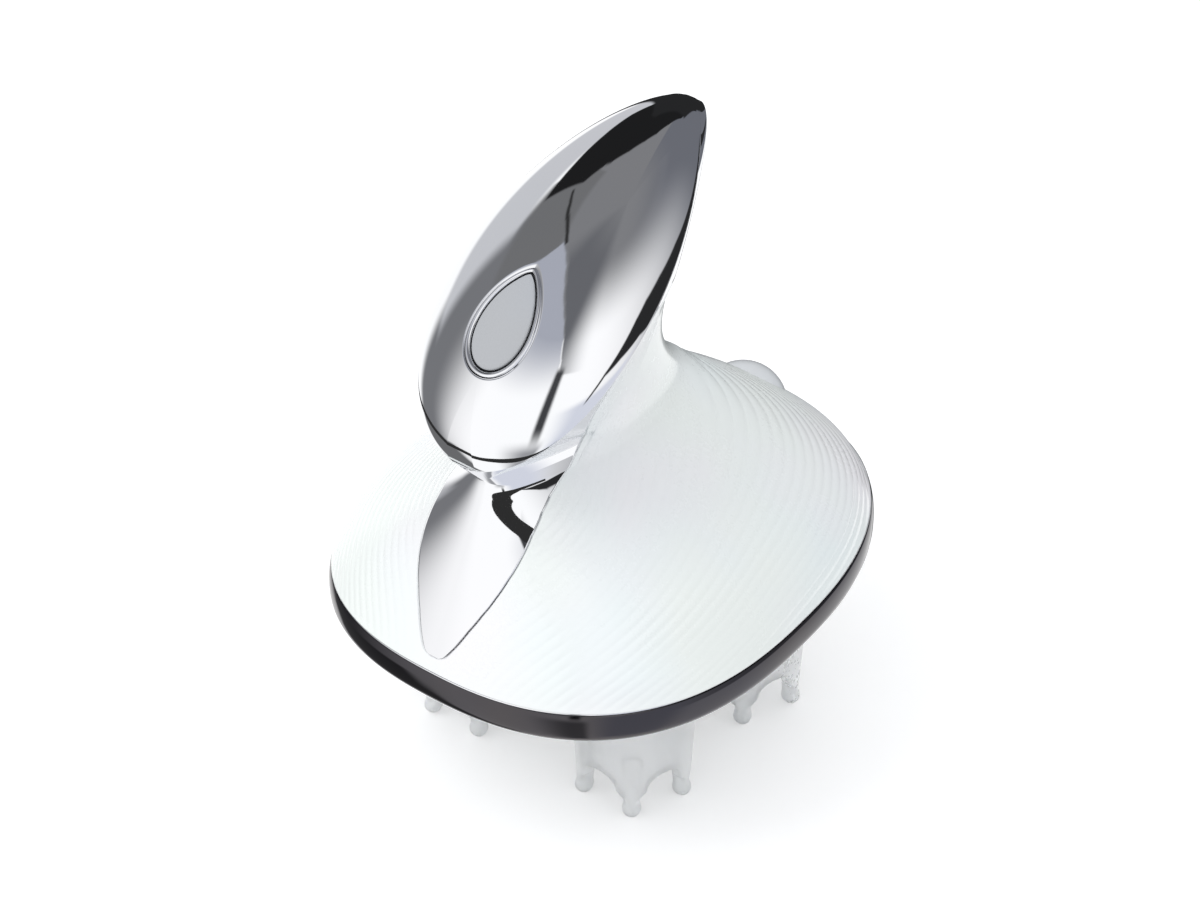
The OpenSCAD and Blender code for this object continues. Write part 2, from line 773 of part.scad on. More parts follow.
module motor_clamp() {
    color("gray")
    translate([motor_xy[0], motor_xy[1], motor_z]) {
        difference() {
            union() {
                cylinder(h = 6, r = motor_r + 1.6);
                translate([-motor_r - 6, -3, 0])
                    cube([2 * motor_r + 12, 6, 2]);
            }
            translate([0, 0, -1])
                cylinder(h = 8, r = motor_r + 0.05);
        }
    }
}

cell_at = [0, cell_r + 3.2, motor_z + 1.4 + cell_r];
module battery() {
    color("steelblue")
    translate(cell_at)
        rotate([0, 90, 0]) {
            cylinder(h = cell_len, r = cell_r, center = true);
            translate([0, 0, cell_len / 2 - 0.1])
                cylinder(h = 0.9, r = 2.2);
        }
}

module battery_cradle() {
    color("lightgray")
    difference() {
        union() {
            for (x = [-cell_len / 2 + 6, cell_len / 2 - 6])
                translate([x - 2, cell_at[1] - cell_r - 1.2, motor_z])
                    cube([4, 2 * cell_r + 2.4, cell_r + 1]);
            translate([-cell_len / 2 + 4, cell_at[1] - 4, motor_z])
                cube([cell_len - 8, 8, 1.2]);
        }
        translate(cell_at)
            rotate([0, 90, 0])
                cylinder(h = cell_len + 10, r = cell_r + 0.05, center = true);
    }
}

board_at = [0, cell_at[1] + cell_r + 10.5, motor_z + 2.6];
module control_board() {
    color("darkgreen") {
        translate(board_at + [-13, -7, 0])
            cube([26, 14, board_t]);
        for (x = [-10, 10])
            translate([x, board_at[1], motor_z + 0.02])
                cylinder(h = board_at[2] - motor_z, r = 1.6, $fn = 24);
        translate(board_at + [-4, -3, board_t - 0.1])
            cube([6, 6, 1.3]);
        translate(board_at + [5, -2, board_t - 0.1])
            cube([4, 4, 2.4]);
    }
}

// ---- Charging pod -----------------------------------------------------------------------------------

pod_wall = 2;
pod_low = 6;
contact_tilt = 30;
contact_x = 3;
contact_r = 1.2;
module at_contacts(grow) {
    for (x = [-contact_x, contact_x])
        translate(pod_at)
            rotate([contact_tilt - 90, 0, 0])
                translate([x, 0, pod_r - 3.2])
                    cylinder(h = 3.2 + grow, r = contact_r + grow, $fn = 32);
}
module rear_pod() {
    color("gainsboro")
    difference() {
        translate(pod_at)
            sphere(pod_r);
        translate(pod_at)
            sphere(pod_r - pod_wall);
        translate([-2 * pod_r, pod_at[1] - 2 * pod_r, pod_at[2] - pod_low - 2 * pod_r])
            cube([4 * pod_r, 4 * pod_r, 2 * pod_r]);
        at_contacts(0.1);
    }
}
module charge_contacts() {
    color("gold")
    at_contacts(0);
}

// ---- Turning heads -------------------------------------------------------------------------------------

spindle_z = cup_top - 9;
module head_spindle(i) {
    p = head_xy[i];
    color("silver")
    translate([p[0], p[1], spindle_z])
        cylinder(h = deck_z + deck_t - 0.4 - spindle_z, r = spindle_r);
}

hub_h = 8;
hub_r = cup_r - cup_wall + 1.2;
module head_hub(i) {
    p = head_xy[i];
    color("lightgray")
    translate([p[0], p[1], cup_top - 1.6 - hub_h])
        difference() {
            union() {
                cylinder(h = hub_h, r = hub_r);
                cylinder(h = hub_h + 2.2, r = 6);
            }
            translate([0, 0, -1])
                cylinder(h = 20, r = spindle_r + 0.02);
        }
}

module finger(lean, reach) {
    translate([reach, 0, 0])
        rotate([0, -lean, 0]) {
            sphere(tip_r, $fn = 32);
            cylinder(h = arch_z, r1 = finger_r, r2 = finger_r + 0.35, $fn = 32);
        }
}

tip_flat = 0.15;
finger_lean = 5;
arch_r = 4.4;
module head_cup(i) {
    p = head_xy[i];
    hub_low = cup_top - 1.6 - hub_h;
    start = 360 / fingers * 0.25;
    color("aliceblue")
    translate([p[0], p[1], 0])
        difference() {
            union() {
                rotate_extrude()
                    polygon([
                        [cup_r - cup_wall - 0.3, arch_z - arch_r],
                        [cup_r - 0.3, arch_z - arch_r],
                        [cup_r, arch_z + 2],
                        [cup_r + 1.2, cup_top - 2],
                        [cup_r + 0.2, cup_top],
                        [6.6, cup_top],
                        [6.6, cup_top - 1.5],
                        [hub_r + 0.1, cup_top - 1.5],
                        [hub_r + 0.1, hub_low - 0.1],
                        [cup_r - cup_wall, hub_low - 0.1]]);
                for (k = [0:fingers - 1])
                    rotate(start + 360 * k / fingers)
                        translate([0, 0, tip_r - tip_flat])
                            finger(finger_lean, finger_ring);
            }
            for (k = [0:fingers - 1])
                rotate(start + 360 * (k + 0.5) / fingers)
                    translate([cup_r - cup_wall - 3, 0, arch_z - arch_r])
                        rotate([0, 90, 0])
                            cylinder(h = cup_wall + 8, r = arch_r, $fn = 40);
            translate([-2 * cup_r, -2 * cup_r, -5])
                cube([4 * cup_r, 4 * cup_r, 5]);
        }
}

// ---- The parts -------------------------------------------------------------------------------------------

upper_shell();
front_spine();
handle_face();
base_band();
base_gasket();
base_plate();
screw_ring();
rear_pod();
charge_contacts();
button_bezel();
button_cap();
button_seal();
tact_switch();
switch_board();
control_board();
battery();
battery_cradle();
motor();
motor_clamp();
motor_shaft();
motor_pinion();
drive_gear();
drive_axle();
gear_plate();
base_screws();
plate_screws();
head_gear(0);  // head_gear_1
head_gear(1);  // head_gear_2
head_gear(2);  // head_gear_3
head_gear(3);  // head_gear_4
head_spindle(0);  // head_spindle_1
head_spindle(1);  // head_spindle_2
head_spindle(2);  // head_spindle_3
head_spindle(3);  // head_spindle_4
spindle_bush(0);  // spindle_bush_1
spindle_bush(1);  // spindle_bush_2
spindle_bush(2);  // spindle_bush_3
spindle_bush(3);  // spindle_bush_4
shaft_seal(0);  // shaft_seal_1
shaft_seal(1);  // shaft_seal_2
shaft_seal(2);  // shaft_seal_3
shaft_seal(3);  // shaft_seal_4
head_hub(0);  // head_hub_1
head_hub(1);  // head_hub_2
head_hub(2);  // head_hub_3
head_hub(3);  // head_hub_4
head_cup(0);  // head_cup_1
head_cup(1);  // head_cup_2
head_cup(2);  // head_cup_3
head_cup(3);  // head_cup_4
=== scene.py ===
import json
import math

import bpy
import numpy as np
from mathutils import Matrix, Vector


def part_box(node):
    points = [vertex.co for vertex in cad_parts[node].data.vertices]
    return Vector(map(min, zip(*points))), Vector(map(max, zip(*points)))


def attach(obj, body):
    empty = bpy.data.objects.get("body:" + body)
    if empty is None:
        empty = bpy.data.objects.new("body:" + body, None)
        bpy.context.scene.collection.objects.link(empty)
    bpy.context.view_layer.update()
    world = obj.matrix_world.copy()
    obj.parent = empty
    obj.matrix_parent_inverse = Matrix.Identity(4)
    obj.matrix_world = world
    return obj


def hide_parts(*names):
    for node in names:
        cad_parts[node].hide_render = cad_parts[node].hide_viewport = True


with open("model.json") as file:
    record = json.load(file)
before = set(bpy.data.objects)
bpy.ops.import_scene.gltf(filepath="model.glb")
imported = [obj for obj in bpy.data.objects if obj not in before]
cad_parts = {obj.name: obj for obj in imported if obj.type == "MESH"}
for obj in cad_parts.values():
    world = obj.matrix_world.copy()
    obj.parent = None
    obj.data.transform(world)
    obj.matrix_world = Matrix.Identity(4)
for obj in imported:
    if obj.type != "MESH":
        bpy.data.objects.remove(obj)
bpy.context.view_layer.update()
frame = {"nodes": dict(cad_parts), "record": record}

# Sizes are in millimetres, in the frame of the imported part, and become metres when a mesh is made.
mm = 0.001
nodes = frame["nodes"]


def boxOf(node):
    low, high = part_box(node)
    return np.array(low) / mm, np.array(high) / mm


# the body's form, the same rows of sections as in the part's source, drawn finer

rim = {"halfW": 52.8, "halfD": 64.1, "square": 2.4, "taper": 0.09, "low": 40.5, "top": 48.2, "proud": 0.8}
handle = {
    "length": 94.5, "halfW": 24.7, "tilt": 32.5, "bow": 8.8, "heelY": -50.7, "heelRise": 7,
    "neckHalfW": 12.4, "grip": 22.5, "bendY": 24, "bendBack": 4, "edge": 0.4, "dome": 0.43,
}
shellHigh = 39.8
neckZ = rim["top"] + shellHigh
# height share, then half width, front and back as shares, squareness, taper
shellForm = np.array([
    [0.00, 1.000, 1.000, 1.000, 2.40, 1.0],
    [0.17, 0.948, 0.953, 0.929, 2.35, 0.9],
    [0.37, 0.827, 0.894, 0.794, 2.30, 0.7],
    [0.57, 0.654, 0.833, 0.643, 2.20, 0.4],
    [0.77, 0.462, 0.764, 0.484, 2.10, 0.2],
    [0.92, 0.317, 0.717, 0.373, 2.05, 0.0],
    [1.00, 0.250, 0.702, 0.325, 2.05, 0.0],
    [1.08, 0.244, 0.710, 0.300, 2.05, 0.0]])
# where the chrome spine ends at each side, in degrees from the front
tongueEdge = np.array([
    [0, 0.5], [0.074, 0.5], [0.0765, 0.9], [0.08, 1.4], [0.087, 2.0], [0.1, 2.7], [0.13, 3.6], [0.17, 4.75],
    [0.27, 7.4], [0.37, 10.6], [0.47, 14.5], [0.57, 19], [0.67, 24.2], [0.77, 30], [0.86, 37], [0.92, 43.5],
    [0.96, 50], [1, 58]])
stripEdge = np.array([[0, 77], [0.08, 74], [0.17, 72], [0.3, 73], [0.45, 76], [0.73, 89], [1, 110], [2, 110]])

tilt = math.radians(handle["tilt"])
heel = np.array([handle["heelY"], neckZ + handle["heelRise"]])
chord = np.array([math.cos(tilt), math.sin(tilt)])
rise = np.array([-math.sin(tilt), math.cos(tilt)])
bend = np.array([handle["bendY"], neckZ])
bendAt = float((bend - heel) @ chord)


def squareRadius(a, n):
    return (np.abs(np.cos(a)) ** n + np.abs(np.sin(a)) ** n) ** (-1 / n)


def edgeHalfW(s):
    u = np.clip(np.asarray(s, float) / handle["length"], 0, 1)
    return np.maximum(handle["edge"], handle["halfW"] * u ** 0.5 * (1 - u) ** 0.75 / 0.4312)


def edgePoint(s):
    s = np.asarray(s, float)
    u = np.clip(s / handle["length"], 0, 1)
    lift = handle["bow"] * u ** 0.55 * (1 - u) ** 0.3 / 0.5757
    return heel + chord * s[..., None] + rise * lift[..., None]


def shellRows(x):
    last = len(shellForm) - 2
    table = np.vstack([2 * shellForm[0] - shellForm[1], shellForm])
    i = np.minimum(np.floor(x).astype(int), last - 1)
    t = (x - i)[:, None]
    p0, p1, p2, p3 = table[i], table[i + 1], table[i + 2], table[i + 3]
    f = 0.5 * (2 * p1 + (p2 - p0) * t + (2 * p0 - 5 * p1 + 4 * p2 - p3) * t * t
               + (3 * p1 - p0 - 3 * p2 + p3) * t * t * t)
    halfW, halfD = rim["halfW"] - rim["proud"], rim["halfD"] - rim["proud"]
    one = np.ones(len(x))
    split = np.radians(np.interp(f[:, 0], tongueEdge[:, 0], tongueEdge[:, 1]))
    return np.stack([bend[0] * one, rim["top"] + shellHigh * f[:, 0], 0 * one,
                     bend[0] - halfD * f[:, 3], bend[0] + halfD * f[:, 2], halfW * f[:, 1],
                     handle["edge"] * one, f[:, 4], rim["taper"] * f[:, 5], one, split], 1)


def handleRows(s):
    wide = edgeHalfW(s)
    edge = edgePoint(s)
    away = edge - bend
    full = float((edgePoint(bendAt) - bend) @ rise)
    low = s < bendAt
    share = np.clip(s / bendAt, 0, 1)
    fanBack = handle["bendBack"] + (full - handle["grip"] - handle["bendBack"]) * share ** 1.45
    t = np.clip((handle["length"] - s) / (handle["length"] - bendAt), 0, 1)
    upperO = bend + chord * (s - bendAt)[:, None]
    upperR = ((edge - upperO) * rise).sum(1)
    upperBack = upperR - handle["grip"] * (0.36 * t ** 0.8 + 0.64 * t)
    neck = handle["neckHalfW"]
    halfW = np.where(low, neck + 2.8 * share ** 2.5,
                     (neck + 2.8) * (wide / edgeHalfW(bendAt)) ** 0.6)
    origin = np.where(low[:, None], bend, upperO)
    turn = np.where(low, np.arctan2(away[:, 1], -away[:, 0]), math.pi / 2 - tilt)
    split = np.radians(np.interp(s / bendAt, stripEdge[:, 0], stripEdge[:, 1]))
    one = np.ones(len(s))
    return np.stack([origin[:, 0], origin[:, 1], turn, np.where(low, fanBack, upperBack),
                     np.where(low, np.hypot(away[:, 0], away[:, 1]), upperR), halfW, wide,
                     2.2 * one, 0 * one, 0 * one, split], 1)


def acrossAlong(rows, a):
    back, front, half, edge, n, taper, blend = (rows[:, k][:, None] for k in (3, 4, 5, 6, 7, 8, 9))
    k = squareRadius(a, n)
    q = (1 + np.cos(a)) / 2
    roundX = half * k * np.sin(a) * (1 + taper * k * np.cos(a)) + edge * q
    pinch = q ** 4
    edgeX = half * np.maximum(1 - np.abs(np.cos(a)) ** n, 0) ** (1 / n) * (1 - pinch) + edge * pinch
    share = q + ((1 + k * np.cos(a)) / 2 - q) * blend
    return edgeX + (roundX - edgeX) * blend, back + share * (front - back)


def bodyPoints(rows, angles, inset=0.0):
    # angles run from the front at 0 over the right side to the back, and are negative on the left
    a = np.abs(angles)
    x, r = acrossAlong(rows, a)
    inset = np.broadcast_to(inset, a.shape)
    if np.any(inset):
        slim = np.minimum(1, np.minimum((rows[:, 4] - rows[:, 3]) / 9, rows[:, 5] / 6))[:, None]
        d = inset * slim
        step = math.radians(0.5)
        x1, r1 = acrossAlong(rows, np.minimum(a + step, math.pi))
        x0, r0 = acrossAlong(rows, np.maximum(a - step, 0))
        dx, dr = x1 - x0, r1 - r0
        size = np.hypot(dx, dr)
        edge, front = rows[:, 6][:, None], rows[:, 4][:, None]
        upper = (rows[:, 9][:, None] < 0.5) & (d > 0)
        corner = edge - np.minimum(1.8 * d + 1.6 * slim, edge - 0.1)
        atEdge = upper & (a < math.radians(1))
        inX, inR = x + dr / size * d, r - dx / size * d
        above = upper & ~atEdge & (inR > front - d)
        x = np.where(atEdge, corner, np.where(above, np.minimum(inX, corner - 0.1), inX))
        r = np.where(atEdge, front - d, np.where(above, front - d - 0.11 * a, inR))
    x = np.where(a > math.radians(179.9), 0, np.maximum(x, 0.02))
    turn = rows[:, 2][:, None]
    return np.stack([np.sign(angles + 1e-12) * x, rows[:, 0][:, None] - r * np.cos(turn),
                     rows[:, 1][:, None] + r * np.sin(turn)], -1)


def evenAngles(rows, start, end, count, bias=None):
    # angles that cut each section into pieces of one length
    u = np.linspace(0, 1, 361)
    a = start[:, None] + (end - start)[:, None] * u
    p = bodyPoints(rows, a)
    size = np.linalg.norm(np.diff(p, axis=1), axis=2)
    along = np.concatenate([np.zeros((len(rows), 1)), np.cumsum(size, 1)], 1)
    want = np.linspace(0, 1, count) if bias is None else bias
    return np.array([np.interp(want * along[i, -1], along[i], a[i]) for i in range(len(rows))])


# making objects

def meshObject(name, points, faces, material, bodyName):
    mesh = bpy.data.meshes.new(name)
    mesh.from_pydata((np.asarray(points) * mm).tolist(), [], faces)
    mesh.validate()
    mesh.materials.append(material)
    mesh.shade_smooth()
    obj = bpy.data.objects.new(name, mesh)
    bpy.context.scene.collection.objects.link(obj)
    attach(obj, bodyName)
    return obj


def gridFaces(rowCount, colCount, closed, start=0):
    lastCol = colCount if closed else colCount - 1
    i, j = np.meshgrid(np.arange(rowCount - 1), np.arange(lastCol), indexing="ij")
    k = (j + 1) % colCount
    quads = np.stack([i * colCount + j, i * colCount + k, (i + 1) * colCount + k, (i + 1) * colCount + j], -1)
    return (quads.reshape(-1, 4) + start).tolist()


def loftRings(rings, points, faces, loop=False):
    # adds closed rings to lists of points and faces; loop joins the last ring to the first, or else both
    # ends are closed
    grid = np.asarray(rings)
    rows, cols = grid.shape[:2]
    start = len(points)
    last = start + (rows - 1) * cols
    points.extend(grid.reshape(-1, 3).tolist())
    faces.extend(gridFaces(rows, cols, True, start))
    if loop:
        for j in range(cols):
            k = (j + 1) % cols
            faces.append([last + j, last + k, start + k, start + j])
        return
    for first, ring, turned in ((start, grid[0], True), (last, grid[-1], False)):
        middle = len(points)
        points.append(ring.mean(0).tolist())
        for j in range(cols):
            tri = [first + j, first + (j + 1) % cols, middle]
            faces.append(tri[::-1] if turned else tri)


def ringsObject(name, rings, material, bodyName, loop=False):
    points, faces = [], []
    loftRings(rings, points, faces, loop)
    return meshObject(name, points, faces, material, bodyName)


def skinObject(name, outer, inner, material, bodyName):
    # a closed sheet between two open grids of the same size
    outer, inner = np.asarray(outer), np.asarray(inner)
    ring = np.concatenate([outer, inner[:, ::-1]], 1)
    rows, cols = ring.shape[:2]
    half = outer.shape[1]
    faces = [quad[::-1] for quad in gridFaces(rows, cols, True)]
    for first, turned in ((0, False), ((rows - 1) * cols, True)):
        for j in range(half - 1):
            quad = [first + j, first + j + 1, first + cols - 2 - j, first + cols - 1 - j]
            faces.append(quad[::-1] if turned else quad)
    return meshObject(name, ring.reshape(-1, 3), faces, material, bodyName)


# shader node groups

def newGroup(name, inputs, outputs):
    group = bpy.data.node_groups.new(name, "ShaderNodeTree")
    for label, kind, value in inputs:
        socket = group.interface.new_socket(label, in_out="INPUT", socket_type=kind)
        if value is not None:
            socket.default_value = value
    for label, kind in outputs:
        group.interface.new_socket(label, in_out="OUTPUT", socket_type=kind)
    start = group.nodes.new("NodeGroupInput")
    end = group.nodes.new("NodeGroupOutput")
    start.location, end.location = (-900, 0), (500, 0)
    return group, start, end


def addNode(tree, kind, x, y, **values):
    node = tree.nodes.new(kind)
    node.location = (x, y)
    for key, value in values.items():
        setattr(node, key, value)
    return node


def makeGrain():
    # small and large unevenness of a moulded or plated surface: roughness and height
    group, start, end = newGroup(
        "surfaceGrain",
        [("Scale", "NodeSocketFloat", 900.0), ("Low", "NodeSocketFloat", 0.2),
         ("High", "NodeSocketFloat", 0.3)],
        [("Roughness", "NodeSocketFloat"), ("Height", "NodeSocketFloat")])
    place = addNode(group, "ShaderNodeTexCoord", -900, -260)
    fine = addNode(group, "ShaderNodeTexNoise", -600, -120)
    fine.inputs["Detail"].default_value = 4
    slow = addNode(group, "ShaderNodeTexNoise", -600, -420)
    slow.inputs["Scale"].default_value = 42
    slow.inputs["Detail"].default_value = 3
    both = addNode(group, "ShaderNodeMath", -380, -300, operation="MULTIPLY_ADD")
    both.inputs[1].default_value = 0.35
    spread = addNode(group, "ShaderNodeMapRange", -160, 60)
    spread.inputs["From Min"].default_value = 0.5
    spread.inputs["From Max"].default_value = 0.85
    link = group.links.new
    link(place.outputs["Object"], fine.inputs["Vector"])
    link(place.outputs["Object"], slow.inputs["Vector"])
    link(start.outputs["Scale"], fine.inputs["Scale"])
    link(fine.outputs[0], both.inputs[0])
    link(slow.outputs[0], both.inputs[2])
    link(both.outputs[0], spread.inputs["Value"])
    link(start.outputs["Low"], spread.inputs["To Min"])
    link(start.outputs["High"], spread.inputs["To Max"])
    link(spread.outputs[0], end.inputs["Roughness"])
    link(fine.outputs[0], end.inputs["Height"])
    return group


def makeDrift():
    # a colour that drifts slowly between three tones
    group, start, end = newGroup(
        "colourDrift",
        [("Scale", "NodeSocketFloat", 30.0), ("First", "NodeSocketColor", (1, 1, 1, 1)),
         ("Second", "NodeSocketColor", (1, 1, 1, 1)), ("Third", "NodeSocketColor", (1, 1, 1, 1))],
        [("Color", "NodeSocketColor")])
    place = addNode(group, "ShaderNodeTexCoord", -900, -260)
    one = addNode(group, "ShaderNodeTexNoise", -640, 120)
    two = addNode(group, "ShaderNodeTexNoise", -640, -260)
    shift = addNode(group, "ShaderNodeVectorMath", -820, -460, operation="ADD")
    shift.inputs[1].default_value = (0.31, 0.17, 0.23)
    sharpOne = addNode(group, "ShaderNodeMapRange", -420, 120)
    sharpTwo = addNode(group, "ShaderNodeMapRange", -420, -260)
    for node in (sharpOne, sharpTwo):
        node.inputs["From Min"].default_value = 0.36
        node.inputs["From Max"].default_value = 0.64
    mixOne = addNode(group, "ShaderNodeMix", -160, 120, data_type="RGBA")
    mixTwo = addNode(group, "ShaderNodeMix", 120, 0, data_type="RGBA")
    link = group.links.new
    link(place.outputs["Object"], one.inputs["Vector"])
    link(place.outputs["Object"], shift.inputs[0])
    link(shift.outputs[0], two.inputs["Vector"])
    link(start.outputs["Scale"], one.inputs["Scale"])
    link(start.outputs["Scale"], two.inputs["Scale"])
    link(one.outputs[0], sharpOne.inputs["Value"])
    link(two.outputs[0], sharpTwo.inputs["Value"])
    link(sharpOne.outputs[0], mixOne.inputs["Factor"])
    link(start.outputs["First"], mixOne.inputs["A"])
    link(start.outputs["Second"], mixOne.inputs["B"])
    link(sharpTwo.outputs[0], mixTwo.inputs["Factor"])
    link(mixOne.outputs["Result"], mixTwo.inputs["A"])
    link(start.outputs["Third"], mixTwo.inputs["B"])
    link(mixTwo.outputs["Result"], end.inputs["Color"])
    return group


grainGroup = makeGrain()
driftGroup = makeDrift()


def makeMaterial(name, look):
    # tones, roughness range and grain come from the look; every other entry sets a socket of the shader
    material = bpy.data.materials.new(name)
    material.use_nodes = True
    tree = material.node_tree
    shader = tree.nodes["Principled BSDF"]
    shader.location = (0, 0)
    for key, value in look.get("set", {}).items():
        shader.inputs[key].default_value = value
    drift = addNode(tree, "ShaderNodeGroup", -420, 120, node_tree=driftGroup)
    drift.inputs["Scale"].default_value = look.get("driftScale", 30)
    tones = look["tones"]
    for label, tone in zip(("First", "Second", "Third"), (tones + tones)[:3]):
        drift.inputs[label].default_value = (*tone, 1)
    grain = addNode(tree, "ShaderNodeGroup", -420, -160, node_tree=grainGroup)
    grain.inputs["Scale"].default_value = look.get("grainScale", 900)
    grain.inputs["Low"].default_value = look["rough"][0]
    grain.inputs["High"].default_value = look["rough"][1]
    bump = addNode(tree, "ShaderNodeBump", -200, -320)
    bump.inputs["Strength"].default_value = look.get("bump", 0.03)
    bump.inputs["Distance"].default_value = 0.0002
    tree.links.new(drift.outputs["Color"], shader.inputs["Base Color"])
    tree.links.new(grain.outputs["Roughness"], shader.inputs["Roughness"])
    tree.links.new(grain.outputs["Height"], bump.inputs["Height"])
    tree.links.new(bump.outputs[0], shader.inputs["Normal"])
    return material


metal = {"Metallic": 1.0}
looks = {
    "pearlShell": {
        "tones": [(0.86, 0.92, 0.92), (0.91, 0.90, 0.92), (0.89, 0.93, 0.90)], "rough": (0.24, 0.32),
        "driftScale": 26, "bump": 0.003,
        "set": {"Coat Weight": 0.5, "Coat Roughness": 0.1}},
    "mirrorChrome": {
        "tones": [(0.87, 0.875, 0.895), (0.88, 0.88, 0.90), (0.86, 0.87, 0.89)], "rough": (0.015, 0.04),
        "bump": 0.004, "set": metal},
    "darkChrome": {
        "tones": [(0.075, 0.07, 0.075), (0.09, 0.083, 0.086), (0.07, 0.068, 0.078)], "rough": (0.05, 0.09),
        "bump": 0.004, "set": metal},
    "frostedGrey": {
        "tones": [(0.42, 0.44, 0.47), (0.45, 0.46, 0.48), (0.43, 0.44, 0.45)], "rough": (0.40, 0.48),
        "bump": 0.04, "set": {"Specular IOR Level": 0.35}},
    "podPlastic": {
        "tones": [(0.74, 0.76, 0.78), (0.78, 0.79, 0.80), (0.72, 0.74, 0.76)], "rough": (0.18, 0.26),
        "set": {"Coat Weight": 0.5, "Coat Roughness": 0.08}},
    "milkySilicone": {
        "tones": [(0.95, 0.965, 0.97), (0.96, 0.97, 0.975), (0.94, 0.96, 0.965)], "rough": (0.26, 0.36),
        "set": {"Transmission Weight": 0.5, "IOR": 1.3, "Subsurface Weight": 0.4,
                "Subsurface Radius": (0.006, 0.006, 0.0065)}},
    "softRubber": {"tones": [(0.035, 0.036, 0.04), (0.05, 0.05, 0.055)], "rough": (0.5, 0.65), "bump": 0.12},
    "satinPlastic": {"tones": [(0.78, 0.80, 0.80), (0.81, 0.82, 0.82)], "rough": (0.32, 0.42), "bump": 0.06},
    "greyPlastic": {"tones": [(0.36, 0.37, 0.38), (0.40, 0.41, 0.42)], "rough": (0.42, 0.55), "bump": 0.1},
    "whitePlastic": {"tones": [(0.70, 0.72, 0.74), (0.74, 0.76, 0.77)], "rough": (0.28, 0.36), "bump": 0.05},
    "acetal": {"tones": [(0.78, 0.75, 0.66), (0.82, 0.79, 0.70)], "rough": (0.35, 0.45), "bump": 0.06},
    "blackPlastic": {"tones": [(0.012, 0.012, 0.013), (0.02, 0.02, 0.022)], "rough": (0.35, 0.5),
                     "bump": 0.08},
    "greenBoard": {"tones": [(0.01, 0.12, 0.05), (0.012, 0.16, 0.07)], "rough": (0.3, 0.4), "bump": 0.08},
    "cellWrap": {"tones": [(0.04, 0.12, 0.28), (0.05, 0.15, 0.33)], "rough": (0.18, 0.28), "bump": 0.06},
    "drawnSteel": {"tones": [(0.52, 0.52, 0.54), (0.60, 0.60, 0.62)], "rough": (0.2, 0.34), "set": metal},
    "groundSteel": {"tones": [(0.58, 0.58, 0.60), (0.66, 0.66, 0.68)], "rough": (0.14, 0.26), "set": metal},
    "turnedBrass": {"tones": [(0.60, 0.42, 0.16), (0.68, 0.50, 0.22)], "rough": (0.18, 0.3), "set": metal},
    "goldPlate": {"tones": [(0.83, 0.60, 0.24), (0.88, 0.66, 0.30)], "rough": (0.1, 0.18), "set": metal},
}
materials = {name: makeMaterial(name, look) for name, look in looks.items()}
slotLooks = {
    "shell": "pearlShell", "chrome": "mirrorChrome", "dark_chrome": "darkChrome", "seal": "softRubber",
    "base": "satinPlastic", "pod": "podPlastic", "contact": "goldPlate", "button": "frostedGrey",
    "black_plastic": "blackPlastic", "circuit": "greenBoard", "cell": "cellWrap",
    "inner_plastic": "greyPlastic", "motor_can": "drawnSteel", "brass": "turnedBrass",
    "gear_plastic": "acetal", "steel": "groundSteel", "hub_plastic": "whitePlastic",
    "silicone": "milkySilicone",
}
for subpart in frame["record"]["subparts"]:
    mesh = nodes[subpart["node"]].data
    mesh.materials.clear()
    mesh.materials.append(materials[slotLooks[subpart["material_slot"]]])
print("materials are made")


def standFor(obj, slotName, *replaced):
    if replaced:
        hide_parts(*replaced)
    return obj


# shell

shell = {
    "rows": 210, "handleRows": 64, "columns": 820, "sunkColumns": 6, "wall": 2.4, "sunk": 1.55, "seam": 0.3,
    "lipDrop": 3.7, "lipIn": 3.35, "fluteDepth": 0.2, "softRows": 50, "softTurns": 300,
}
# flutes counted from the spine: rows are powers of the angle, columns are powers of the drop from the neck
fluteCount = np.array([
    [0.0, 20.73, -25.29, 19.22, -7.12],
    [-8.62, 20.12, 23.75, -8.66, 0.0],
    [21.56, -22.97, -1.93, 0.0, 0.0],
    [-9.50, 5.03, 0.0, 0.0, 0.0],
    [1.31, 0.0, 0.0, 0.0, 0.0]])
upperTs = 0.997 * (1 - np.cos(np.linspace(0, math.pi, shell["handleRows"] + 1))) / 2
lowX = np.linspace(0, len(shellForm) - 2, shell["rows"] + 1)
outerRows = np.vstack([shellRows(lowX), handleRows(upperTs * handle["length"])])


def flutePhase(theta, share):
    # lines run down from the neck and sweep forward towards the rim
    return np.polynomial.polynomial.polyval2d(theta, np.broadcast_to(1 - share, theta.shape), fluteCount)


def shellRing(rows, inset, flutes=False):
    split = rows[:, 10]
    seam = math.radians(shell["seam"])
    sides = evenAngles(rows, split + seam, np.full(len(rows), math.pi), shell["columns"] // 2)
    low = np.linspace(0, 1, shell["sunkColumns"])[None, :] * split[:, None]
    deep = shell["sunk"] * np.clip((np.degrees(split) - 0.6) / 0.6, 0, 1)[:, None]
    right = np.concatenate([low, sides], 1)
    extra = np.concatenate([np.broadcast_to(deep, low.shape), np.zeros(sides.shape)], 1)
    angles = np.concatenate([right, -right[:, -2:0:-1]], 1)
    depth = inset + np.concatenate([extra, extra[:, -2:0:-1]], 1)
    points = bodyPoints(rows, angles, depth)
    if flutes:
        points = softenNeck(addFlutes(points, angles, rows, extra), angles, rows)
    return points


